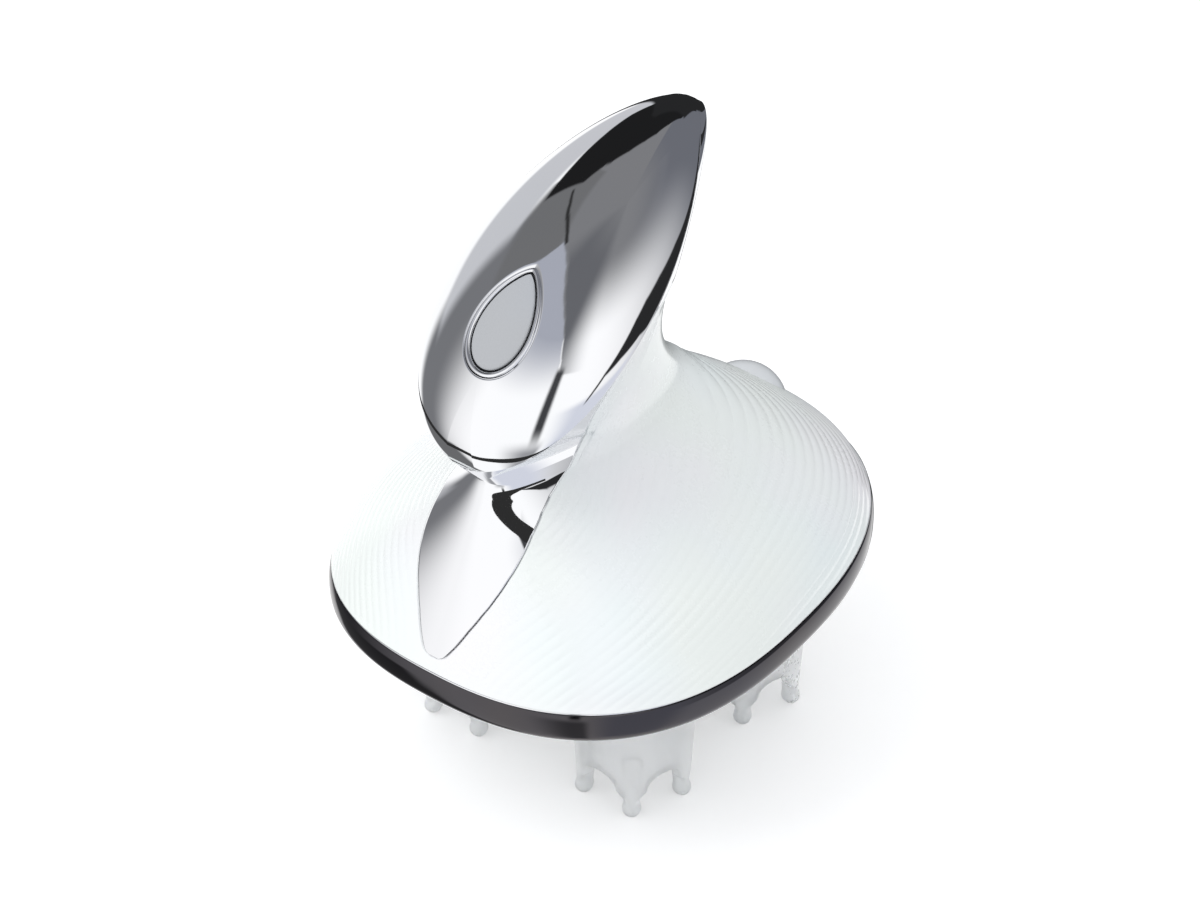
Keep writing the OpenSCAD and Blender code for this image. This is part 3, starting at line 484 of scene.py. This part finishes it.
def softenNeck(points, angles, rows):
    # rounds the crease between the dome and the handle, away from the chrome
    near = np.clip(1 - np.abs(np.arange(len(rows)) - shell["rows"]) / shell["softRows"], 0, 1)[:, None]
    away = np.clip((np.degrees(np.abs(angles) - rows[:, 10][:, None]) - 4) / 16, 0, 1)
    pull = 0.5 * (near * away)[..., None]
    first, last = shell["rows"] - shell["softRows"], shell["rows"] + shell["softRows"]
    part, pull = points[first:last].copy(), pull[first:last]
    for _ in range(shell["softTurns"]):
        part[1:-1] += pull[1:-1] * ((part[:-2] + part[2:]) / 2 - part[1:-1])
    points[first:last] = part
    return points


def gridNormals(points):
    # outward normals of a grid with closed columns
    across = np.roll(points, -1, 1) - np.roll(points, 1, 1)
    along = np.gradient(points, axis=0)
    n = np.cross(across, along)
    return n / np.maximum(np.linalg.norm(n, axis=2, keepdims=True), 1e-9)


def addFlutes(points, angles, rows, extra):
    share = (rows[:, 1] - rim["top"])[:, None] / shellHigh
    low = rows[:, 9][:, None] > 0.5
    theta = np.abs(angles)
    phase = flutePhase(theta, np.clip(share, 0, 1))
    wave = np.abs(np.sin(math.pi * phase)) ** 0.7
    size = shell["fluteDepth"] * np.ones_like(theta)
    size *= np.clip(share / 0.03, 0, 1) * np.clip((1.0 - share) / 0.12, 0, 1)
    edge = np.degrees(theta - rows[:, 10][:, None])
    size *= np.clip((edge - 1) / (6 + 22 * np.clip(1 - share / 0.6, 0, 1)), 0, 1)
    side = np.clip((np.degrees(theta) - 75) / 45, 0, 1)
    size *= np.where(angles > 0, 0.5 + 0.5 * side, 1.0)
    size *= low & (np.concatenate([extra, extra[:, -2:0:-1]], 1) < 0.01)
    return points - gridNormals(points) * (size * (1 - wave))[..., None]


innerX = np.linspace(len(shellForm) - 2, 0, 15)
lipRow = shellRows(np.array([0.0]))


def lipRing(drop, inset):
    row = lipRow.copy()
    row[:, 1] -= drop
    return shellRing(row, inset)


shellRings = np.vstack([
    shellRing(shellRows(innerX), shell["wall"]),
    lipRing(0.0, shell["wall"] + 1.0),
    lipRing(shell["lipDrop"], shell["lipIn"] + shell["wall"]),
    lipRing(shell["lipDrop"], shell["lipIn"]),
    lipRing(0.02, shell["lipIn"]),
    lipRing(0.01, 0.3),
    shellRing(outerRows, 0.0, True)])
shellPiece = ringsObject("pearlShell", shellRings, materials["pearlShell"], "housing")
standFor(shellPiece, "shell", "upper_shell")
print("shell is made:", len(shellPiece.data.vertices), "points")

# chrome spine with its tongue, neck and side strips

spine = {"rows": 150, "handleRows": 90, "columns": 72, "skin": 1.3, "seam": 0.3, "lowest": 0.45}
spineX = np.linspace(spine["lowest"], len(shellForm) - 2, spine["rows"])
spineTs = 0.997 * (1 - np.cos(np.linspace(0, math.pi, spine["handleRows"] + 1))) / 2
spineRows = np.vstack([shellRows(spineX), handleRows(spineTs * handle["length"])])


def spineGrid(inset):
    reach = np.maximum(spineRows[:, 10] - math.radians(spine["seam"]), math.radians(0.3))
    half = evenAngles(spineRows, 0 * reach, reach, spine["columns"] // 2 + 1)
    return bodyPoints(spineRows, np.concatenate([half[:, ::-1], -half - 1e-7], 1), inset)


spinePiece = skinObject("chromeSpine", spineGrid(0.0), spineGrid(spine["skin"]), materials["mirrorChrome"],
                        "housing")
standFor(spinePiece, "chrome", "front_spine")
print("spine is made")

# handle face, bezel and button

face = {"wall": 1.6, "gap": 0.15, "columns": 256, "rows": 60, "buttonAt": 28.1, "buttonLength": 22.6,
        "buttonHalfW": 6.4, "leanDeg": 12.5, "bezel": 1.3, "clear": 0.15}


def domeHeight(s, x):
    w = edgeHalfW(s)
    v = np.clip(np.abs(x) / w, 0, 1)
    return handle["dome"] * w * (1 - v ** 2.2) ** 0.85 + face["gap"]


def domePoint(s, x, lift=0.0):
    p = edgePoint(s) + rise * (domeHeight(s, x) + lift)[..., None]
    return np.stack([x, p[..., 0], p[..., 1]], -1)


def leafLine(length, halfW, count):
    # a leaf outline about the middle of its length, from the low end round the right side
    phi = np.linspace(0, 2 * math.pi, count, endpoint=False)
    u = (1 - np.cos(phi)) / 2
    w = halfW * u ** 0.5 * (1 - u) ** 0.75 / 0.4312
    return length * (u - 0.5), np.where(phi <= math.pi, w, -w)


holeGrow = face["bezel"] + face["clear"]
lean = math.radians(face["leanDeg"])


def faceGrid(inset):
    phi = np.linspace(0, 2 * math.pi, face["columns"], endpoint=False)
    holeS, holeX = leafLine(face["buttonLength"] + 2 * holeGrow, face["buttonHalfW"] + holeGrow,
                            face["columns"])
    holeS = face["buttonAt"] + holeS * math.cos(lean)
    u = (1 - np.cos(phi)) / 2
    outS = handle["length"] * (0.004 + 0.9925 * u)
    outX = np.sign(np.sin(phi) + 1e-12) * (edgeHalfW(outS) - inset * 0.6)
    t = np.sin(np.linspace(0, math.pi / 2, face["rows"]))[:, None]
    s = holeS + (outS - holeS) * t
    x = holeX + (outX - holeX) * t
    w = edgeHalfW(s)
    x = np.clip(x, -w, w)
    return domePoint(s, x, -inset)


outerFace = faceGrid(0.0)
innerFace = faceGrid(face["wall"])
facePiece = ringsObject("chromeFace", np.vstack([outerFace, innerFace[::-1]]), materials["mirrorChrome"],
                        "housing", loop=True)
standFor(facePiece, "chrome", "handle_face")
print("face is made")

# button: its ring and its cap follow the face's dome

button = {"at": face["buttonAt"], "length": face["buttonLength"], "halfW": face["buttonHalfW"], "clear": 0.3,
          "columns": 224, "capRings": 14, "low": -1.2, "bezelLow": -2.15, "stemR": 2, "stemColumns": 32}
buttonTilt = tilt + lean
buttonSpot = domePoint(np.array([button["at"]]), np.array([0.0]))[0]
buttonAlong = np.array([0, math.cos(buttonTilt), math.sin(buttonTilt)])
buttonOut = np.array([0, -math.sin(buttonTilt), math.cos(buttonTilt)])


def buttonPlane(l, x, height):
    return (buttonSpot + np.asarray(l)[..., None] * buttonAlong + np.asarray(height)[..., None] * buttonOut
            + np.asarray(x)[..., None] * np.array([1.0, 0, 0]))


def domeLift(l, x):
    # how far the face's dome lies above the button's plane, at a place in that plane
    s = button["at"] + l * math.cos(lean)
    for _ in range(4):
        away = domePoint(s, x) - buttonSpot
        s = s + (l - away @ buttonAlong) * math.cos(lean)
    return (domePoint(s, x) - buttonSpot) @ buttonOut


def leafRing(grow, lift, size=1.0, flat=None, least=-9.0):
    l, x = leafLine(button["length"] + 2 * grow, button["halfW"] + grow, button["columns"])
    l, x = l * size, x * size
    height = np.maximum(domeLift(l, x) + lift, least) if flat is None else np.full(len(l), float(flat))
    return buttonPlane(l, x, height)


# how far each ring lies outside the button's outline, and its lift over the face
bezelProfile = [(1.30, -0.30), (1.28, -0.02), (1.20, 0.12), (1.06, 0.21), (0.88, 0.24), (0.70, 0.22),
                (0.52, 0.14), (0.36, 0.0), (0.22, -0.16), (0.10, -0.36), (0.04, -0.6)]
bezelRings = [leafRing(face["bezel"], 0, 1, button["bezelLow"])]
bezelRings += [leafRing(grow, lift) for grow, lift in bezelProfile]
bezelRings.append(leafRing(0.04, 0, 1, button["bezelLow"]))
bezelPiece = ringsObject("buttonRing", bezelRings, materials["mirrorChrome"], "housing", loop=True)
standFor(bezelPiece, "chrome", "button_bezel")

capRings = [leafRing(-button["clear"], -0.02, k) for k in np.linspace(0.06, 0.9, button["capRings"])]
capRings += [leafRing(-button["clear"], -lift, k, least=button["low"] + 0.05)
             for k, lift in ((0.935, 0.03), (0.96, 0.06), (0.98, 0.12), (0.993, 0.21), (1.0, 0.34))]
capRings.append(leafRing(-button["clear"], 0, 1, button["low"]))
capPiece = ringsObject("buttonCap", capRings, materials["frostedGrey"], "button")
standFor(capPiece, "button", "button_cap")
stemTurn = np.linspace(0, 2 * math.pi, button["stemColumns"], endpoint=False)
stemL, stemX = button["stemR"] * np.sin(stemTurn), button["stemR"] * np.cos(stemTurn)
stemRings = [buttonPlane(stemL, stemX, np.full(len(stemTurn), h)) for h in (-3.5, -2.3, -1.15)]
stemPiece = ringsObject("buttonStem", stemRings, materials["frostedGrey"], "button")
standFor(stemPiece, "button")
print("button is made")

# silicone heads

head = {"count": 4, "fingers": 5, "reach": 11.4, "tip": 2.2, "flat": 0.15, "slim": 1.85, "thick": 2.3,
        "leanDeg": 5, "archZ": 11.9, "archR": 4.4, "radius": 13.4, "top": 36, "wall": 3.2, "voxel": 0.42}


def cupWall(points, faces):
    # a ring wall whose lower edge rises in an arch between each two fingers
    a = np.linspace(0, 2 * math.pi, 240, endpoint=False)
    step = 2 * math.pi / head["fingers"]
    near = np.abs(((a - headStart) / step) % 1 - 0.5) * step * head["radius"] * 0.93
    rise = np.sqrt(np.maximum(head["archR"] ** 2 - near ** 2, 0))
    web = 5.2 * np.clip((near - head["archR"] + 0.9) / 4.4, 0, 1) ** 1.7
    low = head["archZ"] - head["archR"] + rise - web
    top, wide = head["top"], head["radius"]
    inner = wide - head["wall"]
    rings = []
    for k in np.linspace(0, 1, 14):
        z = low + (top - 1.2 - low) * k
        bulge = np.interp(z, [head["archZ"] - head["archR"], head["archZ"] + 2, top - 2], [-0.3, 0, 1.2])
        rings.append(np.stack([(wide + bulge) * np.cos(a), (wide + bulge) * np.sin(a), z], 1))
    for r, z in ((wide + 1.0, top - 0.5), (wide + 0.3, top), (6.7, top), (6.7, top - 1.5),
                 (inner + 1.2, top - 1.5), (inner + 1.2, top - 9.7), (inner, top - 9.9)):
        rings.append(np.stack([r * np.cos(a), r * np.sin(a), np.full(len(a), z)], 1))
    for k in np.linspace(0.9, 0, 10):
        z = low + 0.25 + (top - 10.2 - low) * k
        rings.append(np.stack([(inner - 0.1) * np.cos(a), (inner - 0.1) * np.sin(a), z], 1))
    loftRings(rings, points, faces, True)


def headFinger(angle, points, faces):
    turn = np.linspace(0, 2 * math.pi, 36, endpoint=False)
    tipZ = head["tip"] - head["flat"]
    slope = math.tan(math.radians(head["leanDeg"]))
    path = [(tipZ - head["tip"] * math.cos(q), head["tip"] * math.sin(q))
            for q in np.radians(np.linspace(12, 122, 12))]
    path = [(max(z, 0.02), r) for z, r in path]
    path += [(tipZ + h, head["slim"] + (head["thick"] - head["slim"]) * (h / head["archZ"]) ** 1.6)
             for h in np.linspace(2.4, head["archZ"] + 1.5, 12)]
    rings = []
    for z, r in path:
        reach = head["reach"] - slope * (z - tipZ)
        x, y = reach + r * np.cos(turn), r * np.sin(turn)
        rings.append(np.stack([x * math.cos(angle) - y * math.sin(angle),
                               x * math.sin(angle) + y * math.cos(angle), np.full(len(turn), z)], 1))
    loftRings(rings, points, faces)


headStart = 2 * math.pi / head["fingers"] * 0.25


def headMesh():
    # wall and fingers become one skin, which is then smoothed
    points, faces = [], []
    cupWall(points, faces)
    for k in range(head["fingers"]):
        headFinger(headStart + 2 * math.pi * k / head["fingers"], points, faces)
    rough = bpy.data.meshes.new("headRough")
    rough.from_pydata((np.asarray(points) * mm).tolist(), [], faces)
    obj = bpy.data.objects.new("headRough", rough)
    bpy.context.scene.collection.objects.link(obj)
    remesh = obj.modifiers.new("remesh", "REMESH")
    remesh.mode = "VOXEL"
    remesh.voxel_size = head["voxel"] * mm
    soft = obj.modifiers.new("soft", "SMOOTH")
    soft.factor = 0.5
    soft.iterations = 5
    ready = obj.evaluated_get(bpy.context.evaluated_depsgraph_get())
    mesh = bpy.data.meshes.new_from_object(ready)
    mesh.name = "siliconeHead"
    bpy.data.objects.remove(obj)
    mesh.materials.clear()
    mesh.materials.append(materials["milkySilicone"])
    mesh.shade_smooth()
    return mesh


headSkin = headMesh()
print("head skin is made:", len(headSkin.vertices), "points")
for number in range(1, head["count"] + 1):
    low, high = boxOf(f"head_cup_{number}")
    middle = (low + high) / 2
    mesh = headSkin.copy()
    place = np.zeros(len(mesh.vertices) * 3)
    mesh.vertices.foreach_get("co", place)
    place = place.reshape(-1, 3) + np.array([middle[0], middle[1], 0]) * mm
    mesh.vertices.foreach_set("co", place.ravel())
    piece = bpy.data.objects.new(f"siliconeHead{number}", mesh)
    bpy.context.scene.collection.objects.link(piece)
    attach(piece, f"head_{number}")
    standFor(piece, "silicone", f"head_cup_{number}")
print("heads are made")

# pod at the back, with its two contacts

pod = {"y": 0.743 * rim["halfD"], "z": rim["top"] + 0.716 * 10.2, "r": 10.2, "wall": 2.0, "cut": 6.0}
podTurn = np.linspace(0, 2 * math.pi, 120, endpoint=False)


def podRing(radius, polar):
    across = radius * math.sin(polar)
    return np.stack([across * np.cos(podTurn), pod["y"] + across * np.sin(podTurn),
                     np.full(len(podTurn), pod["z"] + radius * math.cos(polar))], 1)


podOuter = [podRing(pod["r"], q) for q in np.linspace(0.02, math.acos(-pod["cut"] / pod["r"]), 60)]
podInner = [podRing(pod["r"] - pod["wall"], q)
            for q in np.linspace(math.acos(-pod["cut"] / (pod["r"] - pod["wall"])), 0.03, 24)]
podPiece = ringsObject("rearPod", podOuter + podInner, materials["podPlastic"], "housing")
standFor(podPiece, "pod", "rear_pod")
contact = {"x": 3.0, "r": 1.15, "tilt": 30, "deep": 3.0, "columns": 40}
contactOut = np.array([0, math.cos(math.radians(contact["tilt"])), math.sin(math.radians(contact["tilt"]))])
contactUp = np.array([0, -contactOut[2], contactOut[1]])
contactTurn = np.linspace(0, 2 * math.pi, contact["columns"], endpoint=False)


def contactRing(x, size, drop):
    across, up = x + size * contact["r"] * np.cos(contactTurn), size * contact["r"] * np.sin(contactTurn)
    out = np.sqrt(pod["r"] ** 2 - across ** 2 - up ** 2) - drop
    return (np.array([0, pod["y"], pod["z"]]) + across[:, None] * np.array([1.0, 0, 0])
            + up[:, None] * contactUp + out[:, None] * contactOut)


for side, x in (("Left", -contact["x"]), ("Right", contact["x"])):
    contactRings = [contactRing(x, 1, contact["deep"]), contactRing(x, 1, 0.14), contactRing(x, 0.96, 0.08),
                    contactRing(x, 0.88, 0.05), contactRing(x, 0.45, 0.04)]
    piece = ringsObject("podContact" + side, contactRings, materials["goldPlate"], "housing")
    standFor(piece, "contact", *(["charge_contacts"] if side == "Left" else []))
print("pod is made")

# rim band

band = {"columns": 400}
# height share and how far the profile is drawn in
bandProfile = [(0.0, 3.2), (0.0, 1.5), (0.015, 1.15), (0.05, 0.75), (0.11, 0.40), (0.2, 0.14), (0.3, 0.03),
               (0.42, 0.0), (0.55, 0.01), (0.68, 0.08), (0.78, 0.2), (0.86, 0.36), (0.91, 0.5),
               (0.935, 0.62), (0.955, 0.8), (0.965, 1.1), (0.96, 3.2)]


def rimPoint(a, inset):
    k = squareRadius(a, rim["square"])
    across, along = k * np.cos(a), k * np.sin(a)
    return np.stack([(rim["halfW"] - inset) * across * (1 - rim["taper"] * along),
                     (rim["halfD"] - inset) * along], -1)


around = np.linspace(0, 2 * math.pi, band["columns"], endpoint=False)


def rimRing(inset, height):
    return np.concatenate([rimPoint(around, inset), np.full((band["columns"], 1), height)], 1)


bandRings = [rimRing(inset, rim["low"] + share * (rim["top"] - rim["low"])) for share, inset in bandProfile]
bandPiece = ringsObject("rimBand", bandRings, materials["darkChrome"], "housing", loop=True)
standFor(bandPiece, "dark_chrome", "base_band")
bead = {"inset": 0.86, "z": 48.02, "r": 0.24, "columns": 12}
beadRings = [rimRing(bead["inset"] - bead["r"] * math.cos(q), bead["z"] + bead["r"] * math.sin(q))
             for q in np.linspace(0, 2 * math.pi, bead["columns"], endpoint=False)]
beadPiece = ringsObject("rimBead", beadRings, materials["mirrorChrome"], "housing", loop=True)
standFor(beadPiece, "chrome")
print("band is made")

# stage, lights and camera

view = {"azimuth": 38.6, "elevation": 36.7, "aimZ": 52.8, "right": -2.983, "up": 13.93, "away": 968,
        "lens": 130.68}


def placeCamera():
    a, e = math.radians(view["azimuth"]), math.radians(view["elevation"])
    back = Vector((math.sin(a) * math.cos(e), -math.cos(a) * math.cos(e), math.sin(e)))
    right = Vector((math.cos(a), math.sin(a), 0))
    up = back.cross(right)
    data = bpy.data.cameras.new("camera")
    data.lens = view["lens"]
    data.sensor_width = 36
    data.sensor_fit = "HORIZONTAL"
    data.clip_start, data.clip_end = 0.05, 20
    camera = bpy.data.objects.new("camera", data)
    bpy.context.scene.collection.objects.link(camera)
    spot = Vector((0, 0, view["aimZ"])) + right * view["right"] + up * view["up"] + back * view["away"]
    camera.location = spot * mm
    camera.rotation_mode = "QUATERNION"
    camera.rotation_quaternion = (-back).to_track_quat("-Z", "Y")
    bpy.context.scene.camera = camera


placeCamera()


ground = {"half": 6, "z": -0.00002, "glow": 0.35}


def makeFloor():
    mesh = bpy.data.meshes.new("floor")
    corners = [(x * ground["half"], y * ground["half"], ground["z"])
               for x, y in ((-1, -1), (1, -1), (1, 1), (-1, 1))]
    mesh.from_pydata(corners, [], [[0, 1, 2, 3]])
    material = bpy.data.materials.new("paleFloor")
    material.use_nodes = True
    tree = material.node_tree
    shader = tree.nodes["Principled BSDF"]
    shader.inputs["Base Color"].default_value = (0.8, 0.8, 0.8, 1)
    shader.inputs["Roughness"].default_value = 0.9
    shader.inputs["Specular IOR Level"].default_value = 0.0
    path = addNode(tree, "ShaderNodeLightPath", -500, -300)
    either = addNode(tree, "ShaderNodeMath", -300, -300, operation="MAXIMUM")
    gain = addNode(tree, "ShaderNodeMath", -120, -300, operation="MULTIPLY")
    gain.inputs[1].default_value = ground["glow"]
    glow = addNode(tree, "ShaderNodeEmission", 60, -300)
    both = addNode(tree, "ShaderNodeAddShader", 300, 0)
    tree.links.new(path.outputs["Is Camera Ray"], either.inputs[0])
    tree.links.new(path.outputs["Is Transmission Ray"], either.inputs[1])
    tree.links.new(either.outputs[0], gain.inputs[0])
    tree.links.new(gain.outputs[0], glow.inputs["Strength"])
    tree.links.new(shader.outputs[0], both.inputs[0])
    tree.links.new(glow.outputs[0], both.inputs[1])
    tree.links.new(both.outputs[0], tree.nodes["Material Output"].inputs["Surface"])
    mesh.materials.append(material)
    floor = bpy.data.objects.new("floor", mesh)
    bpy.context.scene.collection.objects.link(floor)
    floor.visible_glossy = False


makeFloor()


def makeWorld():
    world = bpy.data.worlds.new("studio")
    bpy.context.scene.world = world
    world.use_nodes = True
    tree = world.node_tree
    tree.nodes.clear()
    path = addNode(tree, "ShaderNodeLightPath", -600, 200)
    one = addNode(tree, "ShaderNodeMath", -400, 200, operation="MAXIMUM")
    two = addNode(tree, "ShaderNodeMath", -220, 200, operation="MAXIMUM")
    seen = addNode(tree, "ShaderNodeBackground", -40, 0)
    light = addNode(tree, "ShaderNodeBackground", -40, -160)
    light.inputs["Strength"].default_value = 0.98
    pick = addNode(tree, "ShaderNodeMixShader", 200, 0)
    out = addNode(tree, "ShaderNodeOutputWorld", 420, 0)
    seen.inputs["Color"].default_value = (1, 1, 1, 1)
    light.inputs["Color"].default_value = (0.97, 0.98, 1, 1)
    tree.links.new(path.outputs["Is Camera Ray"], one.inputs[0])
    tree.links.new(path.outputs["Is Glossy Ray"], one.inputs[1])
    tree.links.new(one.outputs[0], two.inputs[0])
    tree.links.new(path.outputs["Is Transmission Ray"], two.inputs[1])
    tree.links.new(two.outputs[0], pick.inputs[0])
    tree.links.new(light.outputs[0], pick.inputs[1])
    tree.links.new(seen.outputs[0], pick.inputs[2])
    tree.links.new(pick.outputs[0], out.inputs["Surface"])


makeWorld()


def addLamp(name, place, aim, size, power):
    data = bpy.data.lights.new(name, "AREA")
    data.size = size
    data.energy = power
    lamp = bpy.data.objects.new(name, data)
    bpy.context.scene.collection.objects.link(lamp)
    lamp.visible_glossy = False
    lamp.location = place
    lamp.rotation_mode = "QUATERNION"
    lamp.rotation_quaternion = (Vector(aim) - Vector(place)).to_track_quat("-Z", "Y")


addLamp("softKey", (-0.5, -0.7, 1.0), (0, 0, 0.06), 0.7, 3.5)

surround = {"radius": 3.0, "centreZ": 0.1, "columns": 720, "rows": 360, "bright": 1.12,
            "tint": (-0.07, -0.03, 0.11)}
# patches that mirror surfaces see all round, in degrees: first and last azimuth counted from the front, lower
# and upper edge (one elevation, or azimuth and elevation in turn), brightness, softness at the left, right,
# bottom and top, and the share of the tint
patches = {
    "zenith": (-180, 180, 45, 99, 0.235, (0, 0, 30, 0), 0.3),
    "zenithLeft": (-196, 30, 50, 99, 0.225, (3, 12, 2, 0), 0.3),
    "lavenderRight": (50, 198, -20, 90, 0.17, (100, 3, 1, 26), 1.0),
    "lowRight": (34, 100, -60, 17, 0.76, (20, 20, 1, 6), 0.8),
    "lowMiddle": (2, 40, -70, -4, 0.36, (26, 6, 1, 20), 0.3),
    "greyFront": (-100, -22, -60, 56, 0.20, (12, 50, 20, 4), 0.4),
    "silverLeft": (-136, -82, -5, 34, 0.63, (3, 10, 6, 5), 0.3),
    "column": (-62, 28, 26, (-62, 61.5, -50, 64.5, -36, 66, -18, 65, 0, 61.6, 12, 57.6, 20, 52.4, 28, 42),
               0.45, (2, 1, 28, 1), 1.0),
    "dim": (-60, 50, (-60, 61.5, -50, 64.5, -36, 66, -18, 65, 0, 61.6, 12, 57.6, 20, 52.4, 28, 42, 31, 36,
                      50, 33), 92, 0.15, (30, 30, 1, 20), 0.6),
    "upperGrey": (-100, -60, 31, 62, 0.175, (1, 1, 5, 3), 0.2),
    "roomEdge": (-92, -57, (-92, 49.7, -84, 54.0, -75, 57.1, -67, 59.7, -57, 61.9),
                 (-92, 51.6, -84, 56.1, -75, 59.2, -67, 61.8, -57, 64.0), 0.03, (2, 2, 0.8, 0.8), 0),
    "darkUpperLeft": (-182, -92.5, (-168, 18, -125, 23, -115, 28.5, -105, 32.5, -92, 36),
                      (-182, 6, -176, 38, -174, 49.5, -160, 59, -145, 64.5, -130, 65, -115, 63, -101, 58,
                       -92, 54),
                      0.014, (3, 1.5, 1.5, 1.5), 0.3),
    "darkLeft": (-179, -132, (-179, -20, -140, -60, -132, -20), 48, 0.022, (2, 2, 4, 4), 0.3),
    "darkLine": (26, 35, -20, (26, 42, 35, 40), 0.06, (3, 3, 26, 4), 0.5),
    "crescent": (56, 166, (56, 8, 66, 20, 76, 21.5, 90, 20, 100, 12, 158, 5),
                 (56, 12, 60, 18, 65, 24, 74, 31, 82, 37, 89, 40, 100, 40.5, 116, 38, 135, 31, 152, 25,
                  165, 22),
                 0.025, (2, 10, 2, 2), 0.3),
    "underLeft": (-96, -36, -75, -27, 0.16, (4, 8, 2, 4), 0.2),
}


def edgeLine(edge, x):
    if isinstance(edge, (int, float)):
        return np.full(x.shape, float(edge))
    return np.interp(x, edge[0::2], edge[1::2])


def surroundGlow(azimuth, elevation):
    glow = np.full(azimuth.shape + (3,), surround["bright"])
    for start, end, low, high, bright, (left, right, bottom, top), share in patches.values():
        middle = (start + end) / 2
        x = (azimuth - middle + 180) % 360 - 180 + middle
        gaps = ((x - start, left), (end - x, right), (elevation - edgeLine(low, x), bottom),
                (edgeLine(high, x) - elevation, top))
        inside = np.ones(x.shape)
        for gap, soft in gaps:
            if soft > 0:
                t = np.clip(gap / soft, 0, 1)
                inside *= t * t * (3 - 2 * t)
        colour = bright * (1 + share * np.array(surround["tint"]))
        glow += (colour - glow) * inside[..., None]
    return glow


def mirroredOnly(name, points, faces):
    # a glowing surface that only mirror surfaces see; its mesh, node tree and emission can be set further
    mesh = bpy.data.meshes.new(name)
    mesh.from_pydata(points.reshape(-1, 3).tolist(), [], faces)
    material = bpy.data.materials.new(name)
    material.use_nodes = True
    tree = material.node_tree
    tree.nodes.clear()
    light = addNode(tree, "ShaderNodeEmission", -60, 0)
    out = addNode(tree, "ShaderNodeOutputMaterial", 160, 0)
    tree.links.new(light.outputs[0], out.inputs["Surface"])
    mesh.materials.append(material)
    item = bpy.data.objects.new(name, mesh)
    bpy.context.scene.collection.objects.link(item)
    item.visible_camera = False
    item.visible_diffuse = False
    item.visible_shadow = False
    item.visible_transmission = False
    return mesh, tree, light


def makeSurround():
    # a ball round the part
    cols, rows = surround["columns"], surround["rows"]
    az, el = np.meshgrid(np.linspace(-180, 180, cols, endpoint=False), np.linspace(-89.9, 89.9, rows))
    a, e = np.radians(az), np.radians(el)
    points = np.stack([np.sin(a) * np.cos(e), -np.cos(a) * np.cos(e), np.sin(e)], -1) * surround["radius"]
    points[..., 2] += surround["centreZ"]
    faces = gridFaces(rows, cols, True)
    faces += [list(range(cols))[::-1], list(range((rows - 1) * cols, rows * cols))]
    mesh, tree, light = mirroredOnly("surround", points, faces)
    glow = surroundGlow(az, el).reshape(-1, 3)
    layer = mesh.attributes.new("glow", "FLOAT_COLOR", "POINT")
    layer.data.foreach_set("color", np.concatenate([glow, np.ones((len(glow), 1))], 1).ravel())
    tone = addNode(tree, "ShaderNodeAttribute", -300, 0, attribute_name="glow")
    tree.links.new(tone.outputs["Color"], light.inputs["Color"])


makeSurround()

neckCard = {"y": -25, "radius": 40, "low": 88.3, "high": 91.5, "lift": 5, "lowLift": 0.6, "start": -85,
            "end": 75, "columns": 48, "rows": 4, "bright": 0.03}


def makeNeckCard():
    # a dark strip close in front of the neck, which rises at its right end
    turn = np.radians(np.linspace(neckCard["start"], neckCard["end"], neckCard["columns"]))
    sweep = neckCard["lift"] * np.clip((np.degrees(turn) - 5) / 35, 0, 1)
    low, high = neckCard["low"] + neckCard["lowLift"] * sweep, neckCard["high"] + sweep
    across = neckCard["radius"] * np.sin(turn)
    along = neckCard["y"] - neckCard["radius"] * np.cos(turn)
    rows = np.array([np.stack([across, along, low + share * (high - low)], 1)
                     for share in np.linspace(0, 1, neckCard["rows"])])
    light = mirroredOnly("neckCard", rows * mm, gridFaces(len(rows), len(turn), False))[2]
    light.inputs["Strength"].default_value = neckCard["bright"]


makeNeckCard()
bpy.context.scene.view_settings.view_transform = "Standard"
print("stage is set")
